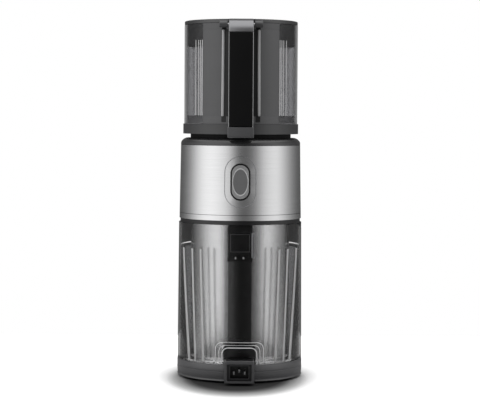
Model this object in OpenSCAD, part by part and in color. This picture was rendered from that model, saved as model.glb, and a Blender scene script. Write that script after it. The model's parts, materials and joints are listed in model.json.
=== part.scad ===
// Cold press juicer: a slim tower with a self-feeding hopper, a drop-in juicing drum and two
// C-shaped containers around the motor column.
// Origin on the tower's axis at the surface it stands on. +Z is up, and -Y is the switch side.

/* [Base] */
// Radius of the base ring
base_r = 83; // [80:1:90]
// Height of the rubber feet
foot_h = 3; // [2:0.5:5]
// Height of the base ring above the feet
base_h = 21.5; // [19:0.5:26]
// Wall of the moulded covers
shell_wall = 2.5; // [2:0.5:3]
// Half the width of the inlet housing
inlet_half_w = 19.3; // [18.5:0.1:20]
// How far the inlet housing reaches behind the base ring
inlet_reach = 20; // [16:1:24]
// Height of the inlet housing above the feet
inlet_h = 30; // [29:0.5:31]

/* [Column] */
// Room for the containers between the column and the base's rim
container_room = 21; // [20.5:0.1:21.5]
// Height of the column between the base and the head
column_h = 181; // [178:1:200]
// Thickness of the steel sleeve
sleeve_wall = 1.2; // [0.8:0.1:1.4]
// Half the width of the black spine
spine_half_w = 15; // [13:0.5:16]

/* [Head] */
// How far the head's lower edge lies inside the base's rim
head_inset = 2.2; // [1.6:0.1:3]
// How much narrower the head is at its upper edge
head_draft = 1.6; // [0.8:0.2:2]
// Height of the steel head
head_h = 96.5; // [92:0.5:110]
// Thickness of the dark floor under the head
head_floor_t = 5.5; // [5:0.5:7]
// Thickness of the head's steel
head_wall = 1.4; // [1:0.1:1.8]
// Height of the separate band at the head's foot
band_h = 6.8; // [5:0.1:9]
// Height of the collar ring above the head
collar_h = 9.5; // [9:0.5:11]

/* [Switch] */
// Height of the rocker's pivot above the head's lower edge
switch_z = 50; // [46:1:56]
// Width of the rocker
rocker_w = 22; // [20:0.5:24]
// Height of the rocker
rocker_h = 44; // [40:1:48]

/* [Drum] */
// Room between the drum and the outside of the head, for the switch and the ducts
head_room = 21.3; // [21:0.1:21.8]
// Wall of the drum
drum_wall = 2.4; // [2:0.1:2.8]
// How far the drum's neck stands out from its side
neck_flare = 7; // [6.5:0.1:7.5]
// Room for juice between the strainer and the drum
strainer_room = 6.5; // [5.5:0.5:8]
// Wall of the strainer
strainer_wall = 1.4; // [1:0.1:1.8]
// Gap between the auger's flights and the strainer
auger_gap = 2.6; // [1.6:0.2:5]
// Width across flats of the drive shaft
hex_af = 14; // [12:0.5:15]

/* [Hopper] */
// How far the hopper lies inside the outside of the head
hopper_inset = 5.8; // [5.4:0.1:6.2]
// Height of the hopper above the drum's neck
hopper_h = 143; // [130:1:150]
// Wall of the hopper shell
hopper_wall = 2.6; // [2:0.1:3]
// How far the hopper's foot ring stands out from the shell
foot_ring_lip = 1.3; // [1:0.1:1.8]
// Height of the hopper's foot ring
foot_ring_h = 13; // [11:0.5:15]
// Half the angle of the opaque rear panel
panel_half_angle = 41; // [38:1:44]
// Thickness of the lid
lid_t = 6; // [5:0.5:8]
// How far the lid's rim lies inside the hopper's side
lid_inset = 0.5; // [0.2:0.1:1]
// Radius of the lid's hinge pin
lid_pin_r = 1.75; // [1.5:0.05:2]

/* [Handle] */
// Width of the handle
handle_w = 31.5; // [29:0.5:33]
// How far the handle stands out from the hopper
handle_out = 40; // [36:1:46]
// Thickness of the grip bar
grip_t = 18; // [15:0.5:20]

/* [Containers] */
// How far the containers lie inside the base's rim
cup_inset = 0.3; // [0.1:0.1:1]
// How much narrower the pulp container is at its rim
cup_draft = 1.3; // [0.5:0.1:1.5]
// Wall of the containers
cup_wall = 2.6; // [2.2:0.1:3]
// Height of the juice container
juice_h = 149.6; // [140:0.2:152]
// Room between the juice container's inner cup and the outside, at the rim
liner_rim_room = 5; // [4:0.1:6]
// Room between the juice container's inner cup and the outside, at the floor
liner_foot_room = 12.7; // [10:0.1:13]
// Half the width of the tunnel over the inlet housing
tunnel_half_w = 22; // [21.5:0.1:22.5]
// Height of the tunnel above the base
tunnel_h = 25.5; // [23:0.5:28]

/* [Drive] */
// Gap between the idler's large gear and the gearbox's wall
gear_gap = 1.0125; // [0.8:0.0125:1.4]
// Teeth of the motor's pinion
motor_teeth = 14; // [14:1:15]
// Teeth of the idler's large gear
idler_teeth = 66; // [64:1:66]
// Teeth of the idler's pinion
second_teeth = 14; // [14:1:15]
// Teeth of the output gear
output_teeth = 46; // [45:1:46]
// Radius of the motor shaft
motor_shaft_r = 5; // [4:0.25:5.5]
// Radius of the output shaft
output_shaft_r = 9; // [8.75:0.25:9.5]
// Room between the stator and the column's core, for the tie bars
stator_room = 12.6; // [10:0.2:16]
// Height of the stator's lamination stack
stator_h = 48; // [40:1:50]

/* [Fits] */
// Gap between a sliding piece and what it slides on
slide_gap = 0.3; // [0.2:0.05:0.5]
// Radial clearance of a shaft in its bearing
run_gap = 0.05; // [0.02:0.01:0.08]
// Gap around pieces that are clipped or seated
seat_gap = 0.2; // [0.1:0.05:0.3]

/* [Hidden] */
$fn = 96;
eps = 0.01;
far = 700;

// Radii, from the base inwards
column_r = base_r - container_room;
head_r = base_r - head_inset;
cup_r = base_r - cup_inset;
liner_rim_r = cup_r - liner_rim_room;
liner_foot_r = cup_r - liner_foot_room;
drum_r = head_r - head_room;
neck_r = drum_r + neck_flare;
strainer_r = drum_r - strainer_room;
auger_r = strainer_r - strainer_wall - auger_gap;
hopper_r = head_r - hopper_inset;
foot_ring_r = hopper_r + foot_ring_lip;
lid_r = hopper_r - lid_inset;
handle_reach = hopper_r + handle_out;

// Heights, from the standing surface up
base_top = foot_h + base_h;
cup_z = base_top + slide_gap;
column_top = base_top + column_h;
head_z = column_top + head_floor_t;
head_top = head_z + head_h;
collar_top = head_top + collar_h;
neck_top = collar_top + 5;
hopper_z = neck_top + slide_gap;
hopper_top = neck_top + hopper_h;
lid_z = hopper_top + slide_gap;
lid_top = lid_z + lid_t;
pulp_top = column_top - slide_gap;
juice_top = base_top + juice_h;
inlet_top = foot_h + inlet_h;
switch_h = head_z + switch_z;

// Base
deck_t = 2.5;
plate_t = 2.5;
plate_r = base_r - shell_wall - slide_gap;
foot_r = 9;
foot_ring = plate_r - foot_r - 6;
vent_n = 10;
board_z = foot_h + plate_t + 4;
board_t = 1.6;
post_r = 3;
post_at = plate_r - 36;
board_half_w = post_at + 6;
board_half_d = board_half_w * 0.72;
board_hole_r = 14;
component_w = 10;
component_pitch = (board_half_w - component_w) / 2.23;

// Power inlet, a standard appliance inlet
inlet_face = base_r + inlet_reach;
c14_w = 31.9;
c14_h = 24;
c14_z = foot_h + 15;
c14_depth = 22;
socket_w = 24;
socket_h = 16.2;
socket_depth = 16;
pin_pitch = 7;
pin_w = 2;
pin_h = 4;

// Column
core_r = column_r - sleeve_wall - seat_gap;
core_wall = 2;
core_in = core_r - core_wall;
stator_r = core_in - stator_room;
deck_hole_r = stator_r - 16;
spine_t = 0.6;
cover_t = 4;
cover_gap = 1.2;
cover_h = tunnel_h - cover_gap;

// Motor
lower_bracket_z = base_top + 10;
bracket_t = 6;
bracket_r = core_in - seat_gap;
bearing_r = 13;
fan_z = lower_bracket_z + bracket_t + 4;
fan_h = 12;
fan_r = stator_r - 6;
winding_h = 8;
stator_z = fan_z + fan_h + 4 + winding_h;
bore_r = stator_r - 19;
rotor_r = bore_r - 0.6;
upper_bracket_z = stator_z + stator_h + winding_h + 4;
gear_z = upper_bracket_z + bracket_t + 4;

// Gear train: two reduction stages between the same two axes
case_r = core_in - seat_gap;
case_wall = 2;
// the idler's large gear reaches the wall, its tips 0.85 of a module past its pitch circle
gear_a = (case_r - case_wall - gear_gap) / (1 + (idler_teeth + 1.7) / (motor_teeth + idler_teeth));
first_m = 2 * gear_a / (motor_teeth + idler_teeth);
second_m = 2 * gear_a / (second_teeth + output_teeth);
first_t = 10;
second_t = 16;
stage_gap = 2;
second_z = gear_z + first_t + stage_gap;
second_top = second_z + second_t;
case_z = upper_bracket_z + bracket_t;
case_floor = 2;
case_top = second_top + 4;
cover_top = case_top + 4;
idler_pin_r = 4;
boss_r = 24;
hex_r = hex_af / 2 / cos(30);
hex_z = head_z + 9;
hex_top = hex_z + 26;
hex_gap = 0.35;
bearing_out_r = 19;

// Head
head_top_r = head_r - head_draft;
shell_in = head_top_r - head_wall - 0.4;
band_gap = 0.5;
well_r = drum_r + slide_gap + 2.4;
well_in = drum_r + slide_gap;
well_floor = 3;
well_lip_z = head_top - 4;
seal_r = 15;
collar_in = neck_r + 0.5;
floor_r = head_r - 1.3;
rocker_pivot_y = -(head_r - 7);
rocker_pin_r = 1.5;
dish_r = 60;
crown_r = 78.6;
rocker_proud = 0.6;

// Ducts for pulp and juice, outside the column
duct_in = column_r + 1.2;
duct_out = duct_in + 12;
duct_half_w = 15;
duct_wall = 1.6;
window_z = head_z + 5;
window_h = 12;
window_half_w = 11;
duct_top = window_z + window_h + 3;
outlet_h = 44;
outlet_z = column_top - outlet_h;
flap_h = 23;
flap_half_w = 11.7;
flap_t = 2;
flap_z = outlet_z + 10;
flap_pin_r = 1;
skirt_r = cup_r - cup_draft;

// Drum and what turns in it
ring_in = neck_r - 3.5;
drum_z = head_z + well_floor + slide_gap;
drum_floor = 3;
drum_hole_r = 15;
flare_z = head_top + slide_gap;
strainer_z = drum_z + drum_floor;
strainer_top = head_top - 2;
slot_n = 28;
auger_z = strainer_z + 1.2;
auger_hub_r = 17;
auger_top = neck_top - 6;
flight_t = 4;
wing_z = auger_top + 0.6;
wing_r = ring_in - 12;
wing_top = hopper_z + 22;
lug_r = 9;

// Hopper
ring_top = hopper_z + foot_ring_h;
shell_z = ring_top + seat_gap;
shell_inner = hopper_r - hopper_wall;
rib_n = 6;
rib_step = 3.3;
rib_t = 1.2;
panel_z = shell_z;
panel_top = hopper_top - 1;
panel_t = 0.8;
channel_half_w = 23;

// Handle
handle_half = handle_w / 2;
grip_out = handle_reach - grip_t;
grip_z = ring_top - 3;
grip_top = hopper_top - 13;
handle_foot_z = collar_top - 4.7;
foot_step_y = head_r;
skin = 1.6;

// Lid hinge
hinge_y = -(hopper_r + 5);
hinge_z = hopper_top - 2;
knuckle_r = 4;
knuckle_w = 7;
knuckle_gap = 0.4;
notch_y = -(hopper_r - 14);

// Containers
cup_floor = 3;
cup_in = column_r + 0.7;
mid_gap = 0.6;
corner_r = 9;
notch_half_w = spine_half_w + 2;
notch_z = outlet_z - 4;

// ---------- shared shapes ----------

// Ring between two radii
module ring(r_out, r_in, z, h)
    translate([0, 0, z])
        difference() {
            cylinder(r = r_out, h = h);
            translate([0, 0, -1])
                cylinder(r = r_in, h = h + 2);
        }

// Tapered tube: radii at its foot and top, the wall measured inwards
module tapered_tube(r_foot, r_top, wall, z, h)
    translate([0, 0, z])
        difference() {
            cylinder(r1 = r_foot, r2 = r_top, h = h);
            translate([0, 0, -eps])
                cylinder(r1 = r_foot - wall, r2 = r_top - wall, h = h + 2 * eps);
        }

// Box given by its lowest and highest corners
module span(low, high)
    translate(low)
        cube(high - low);

// Upright slot with round ends, seen from the switch side and cut along Y
module stadium(w, h, z, y_from, y_to)
    translate([0, y_to, z])
        rotate([90, 0, 0])
            linear_extrude(y_to - y_from) {
                square([w, h - w], center = true);
                for (side = [-1, 1])
                    translate([0, side * (h - w) / 2])
                        circle(d = w);
            }

// Involute tooth flank point at radius r, as an angle from the tooth's middle
function inv(a) = tan(a) * 180 / PI - a;
function flank(n, m, r, slack) =
    let (base = n * m / 2 * cos(24), at = max(r, base))
    90 / n - slack / (n * m / 2) * 180 / PI + inv(24) - inv(acos(base / at));
function gear_points(n, m, slack) = [
    for (tooth = [0 : n - 1])
    for (p = [[-1, -1.3], [-1, -0.4], [-1, 0.25], [-1, 0.85], [1, 0.85], [1, 0.25], [1, -0.4], [1, -1.3]])
    let (r = n * m / 2 + p[1] * m, a = tooth * 360 / n + p[0] * flank(n, m, r, slack))
    [r * cos(a), r * sin(a)]];

// Spur gear with its first tooth turned by the given angle
module gear(n, m, z, t, turn = 0)
    translate([0, 0, z])
        rotate([0, 0, turn])
            linear_extrude(t)
                polygon(gear_points(n, m, 0.11));

// ---------- base ----------

module feet()
    color("black")
    for (a = [45 : 90 : 315])
        rotate([0, 0, a])
            translate([foot_ring, 0, 0])
                cylinder(r = foot_r, h = foot_h);

module base_plate()
    color("dimgray")
    difference() {
        union() {
            translate([0, 0, foot_h])
                cylinder(r = plate_r, h = plate_t);
            for (a = [0 : 90 : 270])
                rotate([0, 0, a])
                    translate([post_at, 0, foot_h])
                        cylinder(r = post_r, h = board_z - foot_h);
        }
        for (i = [0 : vent_n - 1])
            rotate([0, 0, i * 360 / vent_n + 18])
                span([post_at - 26, -2, foot_h - 1], [post_at - 8, 2, foot_h + plate_t + 1]);
        span([-inlet_half_w - seat_gap, -base_r - 1, foot_h - 1],
            [inlet_half_w + seat_gap, -base_r + 14, foot_h + plate_t + 1]);
    }

module base_ring()
    color([0.27, 0.27, 0.28])
    difference() {
        translate([0, 0, foot_h])
            rotate_extrude()
                polygon([[base_r - shell_wall, 0], [base_r - 2, 0], [base_r, 2], [base_r, base_h - 0.8],
                    [base_r - 0.8, base_h], [deck_hole_r, base_h], [deck_hole_r, base_h - deck_t],
                    [base_r - shell_wall, base_h - deck_t]]);
        span([-inlet_half_w - seat_gap, -base_r - 1, foot_h - 1],
            [inlet_half_w + seat_gap, -base_r + 8, base_top + 1]);
    }

module inlet_housing()
    color([0.27, 0.27, 0.28])
    difference() {
        translate([0, -base_r + 8 - seat_gap, 0])
            rotate([90, 0, 0])
                linear_extrude(inlet_face - base_r + 8 - seat_gap) {
                    translate([-inlet_half_w, foot_h + seat_gap])
                        square([2 * inlet_half_w, inlet_h - 5]);
                    translate([-inlet_half_w + 4, foot_h + seat_gap])
                        square([2 * inlet_half_w - 8, inlet_h - 1 - seat_gap]);
                    for (side = [-1, 1])
                        translate([side * (inlet_half_w - 4), inlet_top - 5])
                            circle(r = 4);
                }
        span([-c14_w / 2 - seat_gap, -far, c14_z - c14_h / 2 - seat_gap],
            [c14_w / 2 + seat_gap, 0, c14_z + c14_h / 2 + seat_gap]);
    }

module power_inlet()
    color("black")
    difference() {
        span([-c14_w / 2, -inlet_face + 0.6, c14_z - c14_h / 2],
            [c14_w / 2, -inlet_face + c14_depth, c14_z + c14_h / 2]);
        span([-socket_w / 2, -inlet_face - 1, c14_z - socket_h / 2],
            [socket_w / 2, -inlet_face + socket_depth, c14_z + socket_h / 2]);
        pins(0);
    }

// The three contacts, the middle one set higher
module pins(grow)
    for (i = [-1 : 1])
        let (x = i * pin_pitch, z = c14_z - 0.5 + (i == 0 ? 2 : -1))
            span([x - pin_w / 2 - grow, -inlet_face + 3, z - pin_h / 2 - grow],
                [x + pin_w / 2 + grow, -inlet_face + c14_depth + 4, z + pin_h / 2 + grow]);

module inlet_pins()
    color("silver") pins(0);

module control_board()
    color("darkgreen") {
        difference() {
            span([-board_half_w, -board_half_d, board_z], [board_half_w, board_half_d, board_z + board_t]);
            translate([0, 0, board_z - 1])
                cylinder(r = board_hole_r, h = board_t + 2);
        }
        for (i = [-2, -1, 1, 2])
            let (x = i * component_pitch)
                span([x - component_w / 2, board_half_d - 18, board_z + board_t],
                    [x + component_w / 2, board_half_d - 6, board_z + board_t + 8]);
    }

// ---------- column ----------

module column_core()
    color([0.15, 0.15, 0.16])
    difference() {
        ring(core_r, core_in, base_top, column_h);
        // air vents at the motor's height, hidden by the sleeve
        for (a = [0 : 45 : 315])
            rotate([0, 0, a + 22.5])
                span([core_in - 1, -3, base_top + 14], [core_r + 1, 3, base_top + 24]);
    }

module column_sleeve()
    color("silver")
    ring(column_r, column_r - sleeve_wall, base_top, column_h);

// Curved strip on the outside of the sleeve, cut to a width about the rear centre line
module rear_strip(half_w, t, z, top)
    intersection() {
        ring(column_r + t, column_r, z, top - z);
        span([-half_w, -far, z - 1], [half_w, -column_r / 2, top + 1]);
    }

module spine()
    color([0.08, 0.08, 0.085])
    rear_strip(spine_half_w, spine_t, base_top + cover_h, outlet_z);

module inlet_cover()
    color("black")
    difference() {
        intersection() {
            rear_strip(tunnel_half_w - cover_gap, cover_t, base_top, base_top + tunnel_h);
            tunnel(tunnel_half_w - cover_gap, cover_h);
        }
        translate([0, -column_r - cover_t - 1, base_top + 16])
            rotate([-90, 0, 0])
                cylinder(r = 2.2, h = 2);
    }

// ---------- motor ----------

module bracket(z)
    difference() {
        ring(bracket_r, bearing_r, z, bracket_t);
        for (a = [0 : 60 : 300])
            rotate([0, 0, a + 30])
                translate([bracket_r - 14, 0, z - 1])
                    cylinder(r = 6, h = bracket_t + 2);
    }

module motor_brackets()
    color("gray") {
        bracket(lower_bracket_z);
        difference() {
            ring(bracket_r, bracket_r - 6, base_top, lower_bracket_z - base_top);
            for (a = [0 : 45 : 315])
                rotate([0, 0, a + 22.5])
                    span([bracket_r - 7, -8, base_top + 2], [far, 8, lower_bracket_z + 1]);
        }
        bracket(upper_bracket_z);
        // tie bars that hold the stator between the two brackets
        for (a = [0 : 90 : 270])
            rotate([0, 0, a])
                translate([stator_r + 4 + seat_gap, 0, lower_bracket_z + bracket_t])
                    cylinder(r = 4, h = upper_bracket_z - lower_bracket_z - bracket_t);
    }

module motor_bearings()
    color("silver")
    for (z = [lower_bracket_z, upper_bracket_z])
        ring(bearing_r, motor_shaft_r + run_gap, z, bracket_t);

module stator()
    color([0.45, 0.45, 0.47])
    difference() {
        ring(stator_r, bore_r, stator_z, stator_h);
        for (i = [0 : 11])
            rotate([0, 0, i * 30 + 15])
                translate([0, 0, stator_z - 1])
                    span([bore_r + 3, -3, 0], [stator_r - 6, 3, stator_h + 2]);
    }

module windings()
    color([0.72, 0.4, 0.18])
    for (z = [stator_z - winding_h, stator_z + stator_h])
        ring(stator_r - 5, bore_r + 3, z, winding_h);

module rotor()
    color([0.6, 0.6, 0.62]) {
        translate([0, 0, stator_z - 2])
            cylinder(r = rotor_r, h = stator_h + 4);
        translate([0, 0, lower_bracket_z - 2])
            cylinder(r = motor_shaft_r, h = gear_z - lower_bracket_z + 2);
        gear(motor_teeth, first_m, gear_z - 1, first_t + 1);
    }

module cooling_fan()
    color("dimgray")
    difference() {
        union() {
            translate([0, 0, fan_z])
                cylinder(r = 12, h = fan_h);
            translate([0, 0, fan_z + fan_h - 1.5])
                cylinder(r = fan_r, h = 1.5);
            for (a = [0 : 40 : 320])
                rotate([0, 0, a])
                    span([10, -0.8, fan_z], [fan_r - 1, 0.8, fan_z + fan_h - 1]);
        }
        translate([0, 0, fan_z - 1])
            cylinder(r = motor_shaft_r, h = fan_h + 2);
    }

// ---------- gearbox ----------

module gearbox_case()
    color("gray")
    difference() {
        union() {
            ring(case_r, case_r - case_wall, case_z, case_top - case_z);
            ring(case_r, bearing_r + 2, case_z, case_floor);
            translate([gear_a, 0, case_z])
                cylinder(r = idler_pin_r + 3, h = case_floor + 1);
        }
        translate([gear_a, 0, case_z - 1])
            cylinder(r = idler_pin_r, h = far);
    }

module gearbox_cover()
    color("gray")
    difference() {
        union() {
            ring(case_r, bearing_out_r, case_top, cover_top - case_top);
            ring(boss_r, bearing_out_r, case_top, column_top - case_top);
        }
        translate([gear_a, 0, case_top - 1])
            cylinder(r = idler_pin_r, h = 3);
    }

module idler_pin()
    color("silver")
    translate([gear_a, 0, case_z])
        cylinder(r = idler_pin_r, h = case_top + 2 - case_z);

module idler_gear()
    color("goldenrod")
    translate([gear_a, 0, 0])
        difference() {
            union() {
                gear(idler_teeth, first_m, gear_z, first_t, 180 / idler_teeth);
                gear(second_teeth, second_m, gear_z + first_t - eps, second_top - gear_z - first_t, 0);
            }
            translate([0, 0, gear_z - 1])
                cylinder(r = idler_pin_r + run_gap, h = far);
        }

module output_gear()
    color("goldenrod")
    difference() {
        gear(output_teeth, second_m, second_z, second_t, 180 / output_teeth);
        translate([0, 0, second_z - 1])
            cylinder(r = output_shaft_r, h = second_t + 2);
    }

module drive_shaft()
    color("silver") {
        translate([0, 0, second_z])
            cylinder(r = output_shaft_r, h = hex_z - second_z);
        translate([0, 0, hex_z])
            cylinder(r = hex_r, h = hex_top - hex_z, $fn = 6);
    }

module output_bearing()
    color("silver")
    ring(bearing_out_r, output_shaft_r + run_gap, case_top, 12);

// ---------- head ----------

// Slot through the head floor for one duct
module duct_slot(grow)
    span([-duct_half_w - grow, duct_in - grow, column_top - 1],
        [duct_half_w + grow, duct_out + grow, head_z + 1]);

module head_floor()
    color([0.1, 0.1, 0.105])
    difference() {
        translate([0, 0, column_top])
            cylinder(r = floor_r, h = head_floor_t);
        translate([0, 0, column_top - 1])
            cylinder(r = bearing_out_r, h = head_floor_t + 2);
        duct_slot(seat_gap);
        mirror([0, 1, 0])
            duct_slot(seat_gap);
    }

// Outer radius of the head at a height
function head_at(z) = head_r - head_draft * (z - head_z) / head_h;

module head_band()
    color("silver")
    tapered_tube(head_r, head_at(head_z + band_h), head_wall, head_z, band_h);

module head_shell()
    color("silver")
    difference() {
        tapered_tube(head_at(head_z + band_h + band_gap), head_top_r, head_wall,
            head_z + band_h + band_gap, head_h - band_h - band_gap);
        stadium(rocker_w + 4, rocker_h + 4, switch_h, -far, 0);
    }

module chamber_well()
    color([0.12, 0.12, 0.125])
    difference() {
        union() {
            ring(well_r, well_in, head_z, head_h - 4);
            ring(well_r, seal_r, head_z, well_floor);
            ring(shell_in, well_in, well_lip_z, 4);
        }
        for (side = [-1, 1])
            span([-window_half_w, min(side * far, 0), window_z],
                [window_half_w, max(side * far, 0), window_z + window_h]);
    }

module shaft_seal()
    color([0.3, 0.3, 0.3])
    ring(seal_r, output_shaft_r + run_gap, head_z, well_floor);

module collar_ring()
    color([0.14, 0.14, 0.145])
    translate([0, 0, head_top])
        rotate_extrude()
            polygon([[collar_in, 0], [head_top_r, 0], [head_top_r, 2.5], [head_top_r - 0.9, 5],
                [head_top_r - 2.8, 7.2], [head_top_r - 5.6, collar_h - 0.7], [head_top_r - 8.5, collar_h],
                [collar_in, collar_h]]);

// ---------- switch ----------

module switch_bezel()
    color([0.6, 0.6, 0.61])
    difference() {
        stadium(rocker_w + 4 - 2 * seat_gap, rocker_h + 4 - 2 * seat_gap, switch_h,
            -head_r + 0.9, -head_r + 6);
        stadium(rocker_w + 1.2, rocker_h + 1.2, switch_h, -far, 0);
    }

module switch_module()
    color("black")
    difference() {
        span([-rocker_w / 2 - 3, -head_r + 7, switch_h - rocker_h / 2 - 3],
            [rocker_w / 2 + 3, -well_r + 0.5, switch_h + rocker_h / 2 + 3]);
        span([-rocker_w / 2 - 0.6, -far, switch_h - rocker_h / 2 - 0.6],
            [rocker_w / 2 + 0.6, -well_r - 3, switch_h + rocker_h / 2 + 0.6]);
        cylinder(r = well_r, h = far);
        rotate([0, 90, 0])
            translate([-switch_h, rocker_pivot_y + 1, -far])
                cylinder(r = rocker_pin_r, h = 2 * far);
    }

module rocker_pin()
    color("silver")
    translate([-rocker_w / 2 - 3, rocker_pivot_y + 1, switch_h])
        rotate([0, 90, 0])
            cylinder(r = rocker_pin_r, h = rocker_w + 6);

module rocker()
    color([0.45, 0.45, 0.46])
    difference() {
        union() {
            intersection() {
                stadium(rocker_w, rocker_h, switch_h, -head_r - rocker_proud, -head_r + 5);
                translate([-rocker_w, 0, switch_h])
                    rotate([0, 90, 0])
                        translate([0, -head_r - rocker_proud + crown_r, 0])
                            cylinder(r = crown_r, h = 2 * rocker_w);
            }
            span([-rocker_w / 2 + 2, -head_r + 4.9, switch_h - 5],
                [rocker_w / 2 - 2, rocker_pivot_y + 4, switch_h + 5]);
        }
        rotate([0, 90, 0])
            translate([-switch_h, rocker_pivot_y + 1, -far])
                cylinder(r = rocker_pin_r + run_gap, h = 2 * far);
        // shallow dish for the finger
        translate([0, -head_r - dish_r + 0.7, switch_h])
            sphere(r = dish_r);
    }

// ---------- ducts ----------

// Four-sided tube that hangs beside the column, from a height down to a height
module duct(z, top)
    difference() {
        span([-duct_half_w, duct_in, z], [duct_half_w, duct_out, top]);
        span([-duct_half_w + duct_wall, duct_in + duct_wall, z - 1],
            [duct_half_w - duct_wall, duct_out - duct_wall, top - duct_wall]);
        // mouth towards the drum
        span([-window_half_w, 0, window_z], [window_half_w, duct_in + duct_wall + 1, window_z + window_h]);
    }

module pulp_duct()
    color([0.1, 0.1, 0.1])
    mirror([0, 1, 0])
        duct(column_top, duct_top);

module juice_duct()
    color([0.1, 0.1, 0.1])
    duct(juice_top + 3, duct_top);

module pulp_outlet()
    color([0.06, 0.06, 0.065])
    difference() {
        span([-duct_half_w, -duct_out, outlet_z], [duct_half_w, -duct_in + 1, column_top - seat_gap / 2]);
        cylinder(r = column_r + seat_gap, h = far);
        // chute inside
        span([-duct_half_w + duct_wall, -duct_out + 3, outlet_z - 1],
            [duct_half_w - duct_wall, -duct_in - 1.2, far]);
        // mouth that faces the container, closed by the flap
        span([-flap_half_w - 0.4, -far, flap_z - 0.4], [flap_half_w + 0.4, -duct_out + 4, flap_z + flap_h + 0.4]);
        flap_axle(flap_pin_r + run_gap, duct_half_w - 1);
    }

module flap_axle(r, half)
    translate([-half, -duct_out + flap_t, flap_z + flap_h - 2.2])
        rotate([0, 90, 0])
            cylinder(r = r, h = 2 * half);

module pulp_flap()
    color([0.03, 0.03, 0.03]) {
        span([-flap_half_w, -duct_out + 1, flap_z], [flap_half_w, -duct_out + 1 + flap_t, flap_z + flap_h - 2]);
        flap_axle(flap_pin_r, duct_half_w - 1.2);
    }

module front_skirt()
    color([0.24, 0.24, 0.25])
    difference() {
        intersection() {
            union() {
                tapered_tube(skirt_r, skirt_r, shell_wall, juice_top + 1.5, column_top - juice_top - 1.5);
                ring(skirt_r, column_r + seat_gap, column_top - 3, 3);
            }
            span([-far, mid_gap, 0], [far, far, far]);
        }
        duct_slot(seat_gap);
        translate([0, 0, -6])
            duct_slot(seat_gap);
    }

// ---------- drum ----------

module drum()
    color([0.2, 0.2, 0.21])
    difference() {
        union() {
            ring(drum_r, drum_r - drum_wall, drum_z, flare_z - drum_z + 3);
            ring(drum_r, drum_hole_r, drum_z, drum_floor);
            ring(neck_r, drum_r - drum_wall, flare_z, 4);
            ring(neck_r, neck_r - 2.5, flare_z, neck_top - flare_z);
        }
        for (side = [-1, 1])
            span([-window_half_w + 1, min(side * far, 0), window_z + 1],
                [window_half_w - 1, max(side * far, 0), window_z + window_h - 1]);
    }

module drum_gasket()
    color([0.35, 0.35, 0.36])
    ring(drum_hole_r, output_shaft_r + 1, drum_z, drum_floor - 0.5);

module strainer()
    color([0.75, 0.75, 0.74])
    difference() {
        union() {
            ring(strainer_r, strainer_r - strainer_wall, strainer_z, strainer_top - strainer_z);
            ring(drum_r - drum_wall - seat_gap, strainer_r - strainer_wall, strainer_top - 3, 3);
            ring(strainer_r, strainer_r - 6, strainer_z, 1);
        }
        for (i = [0 : slot_n / 2 - 1])
            rotate([0, 0, (i + 0.5) * 360 / slot_n])
                span([-far, -0.5, strainer_z + 20], [far, 0.5, strainer_top - 12]);
        span([-window_half_w + 1, -far, window_z], [window_half_w - 1, 0, window_z + window_h]);
    }

// One flight of the auger, wound around its hub
module flights(turns)
    translate([0, 0, auger_z])
        linear_extrude(auger_top - auger_z - 8, twist = -360 * turns, slices = 28, $fn = 24)
            for (side = [0, 180])
                rotate([0, 0, side])
                    translate([0, -flight_t])
                        square([auger_r, 2 * flight_t]);

module auger()
    color([0.33, 0.33, 0.34])
    difference() {
        union() {
            translate([0, 0, auger_z])
                cylinder(r1 = 30, r2 = auger_hub_r, h = auger_top - auger_z);
            flights(1.25);
            translate([0, 0, auger_top - 1])
                cylinder(r = lug_r, h = 12, $fn = 6);
        }
        translate([0, 0, auger_z - 1])
            cylinder(r = hex_r + hex_gap, h = hex_top - auger_z + 3, $fn = 6);
        translate([0, 0, auger_z - 1])
            cylinder(r = output_shaft_r + 0.5, h = hex_z - auger_z + 1.5);
    }

module cutting_wing()
    color([0.5, 0.5, 0.51])
    difference() {
        union() {
            translate([0, 0, wing_z])
                cylinder(r = 16, h = wing_top - wing_z - 2);
            difference() {
                translate([0, 0, wing_z + 6])
                    cylinder(r = wing_r, h = 3);
                span([6, 4, 0], [far, far, far]);
            }
            span([0, 1, wing_z + 6], [wing_r - 4, 4, wing_top]);
            span([-wing_r + 8, -4, wing_z + 6], [0, -1, wing_top - 6]);
        }
        translate([0, 0, wing_z - 1])
            cylinder(r = lug_r + 0.2, h = 12.6, $fn = 6);
    }

// ---------- hopper ----------

module hopper_ring()
    color([0.2, 0.2, 0.21])
    difference() {
        union() {
            ring(foot_ring_r, ring_in, hopper_z, foot_ring_h);
            // locating lip inside the drum's neck
            ring(neck_r - 2.5 - slide_gap, ring_in - 2, hopper_z - 4, foot_ring_h / 2);
        }
        translate([0, 0, hopper_z - 5])
            cylinder(r = ring_in - 1, h = far);
    }

module hopper_shell()
    color([0.5, 0.5, 0.52, 0.45])
    difference() {
        ring(hopper_r, shell_inner, shell_z, hopper_top - shell_z);
        // seat of the rear panel
        panel_sector(far, shell_inner + 1.2, panel_z - 1, panel_top + far);
    }

// Part of a ring that lies behind the hopper, within the panel's angle
module panel_sector(r_out, r_in, z, top, shrink = 0)
    rotate([0, 0, -90 - panel_half_angle + shrink])
        translate([0, 0, z])
            rotate_extrude(angle = 2 * (panel_half_angle - shrink))
                translate([r_in, 0])
                    square([r_out - r_in, top - z]);

module hopper_ribs()
    color([0.6, 0.6, 0.62])
    for (side = [-1, 1], i = [0 : rib_n - 1])
        rotate([0, 0, -90 + side * (panel_half_angle + 2.4 + i * rib_step)])
            span([shell_inner - 1.5, -rib_t / 2, shell_z + 8], [shell_inner - 0.1, rib_t / 2, hopper_top - 22]);

module hopper_seal()
    color([0.3, 0.3, 0.31])
    ring(neck_r - 0.2, neck_r - 2.2, neck_top, slide_gap);

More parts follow.
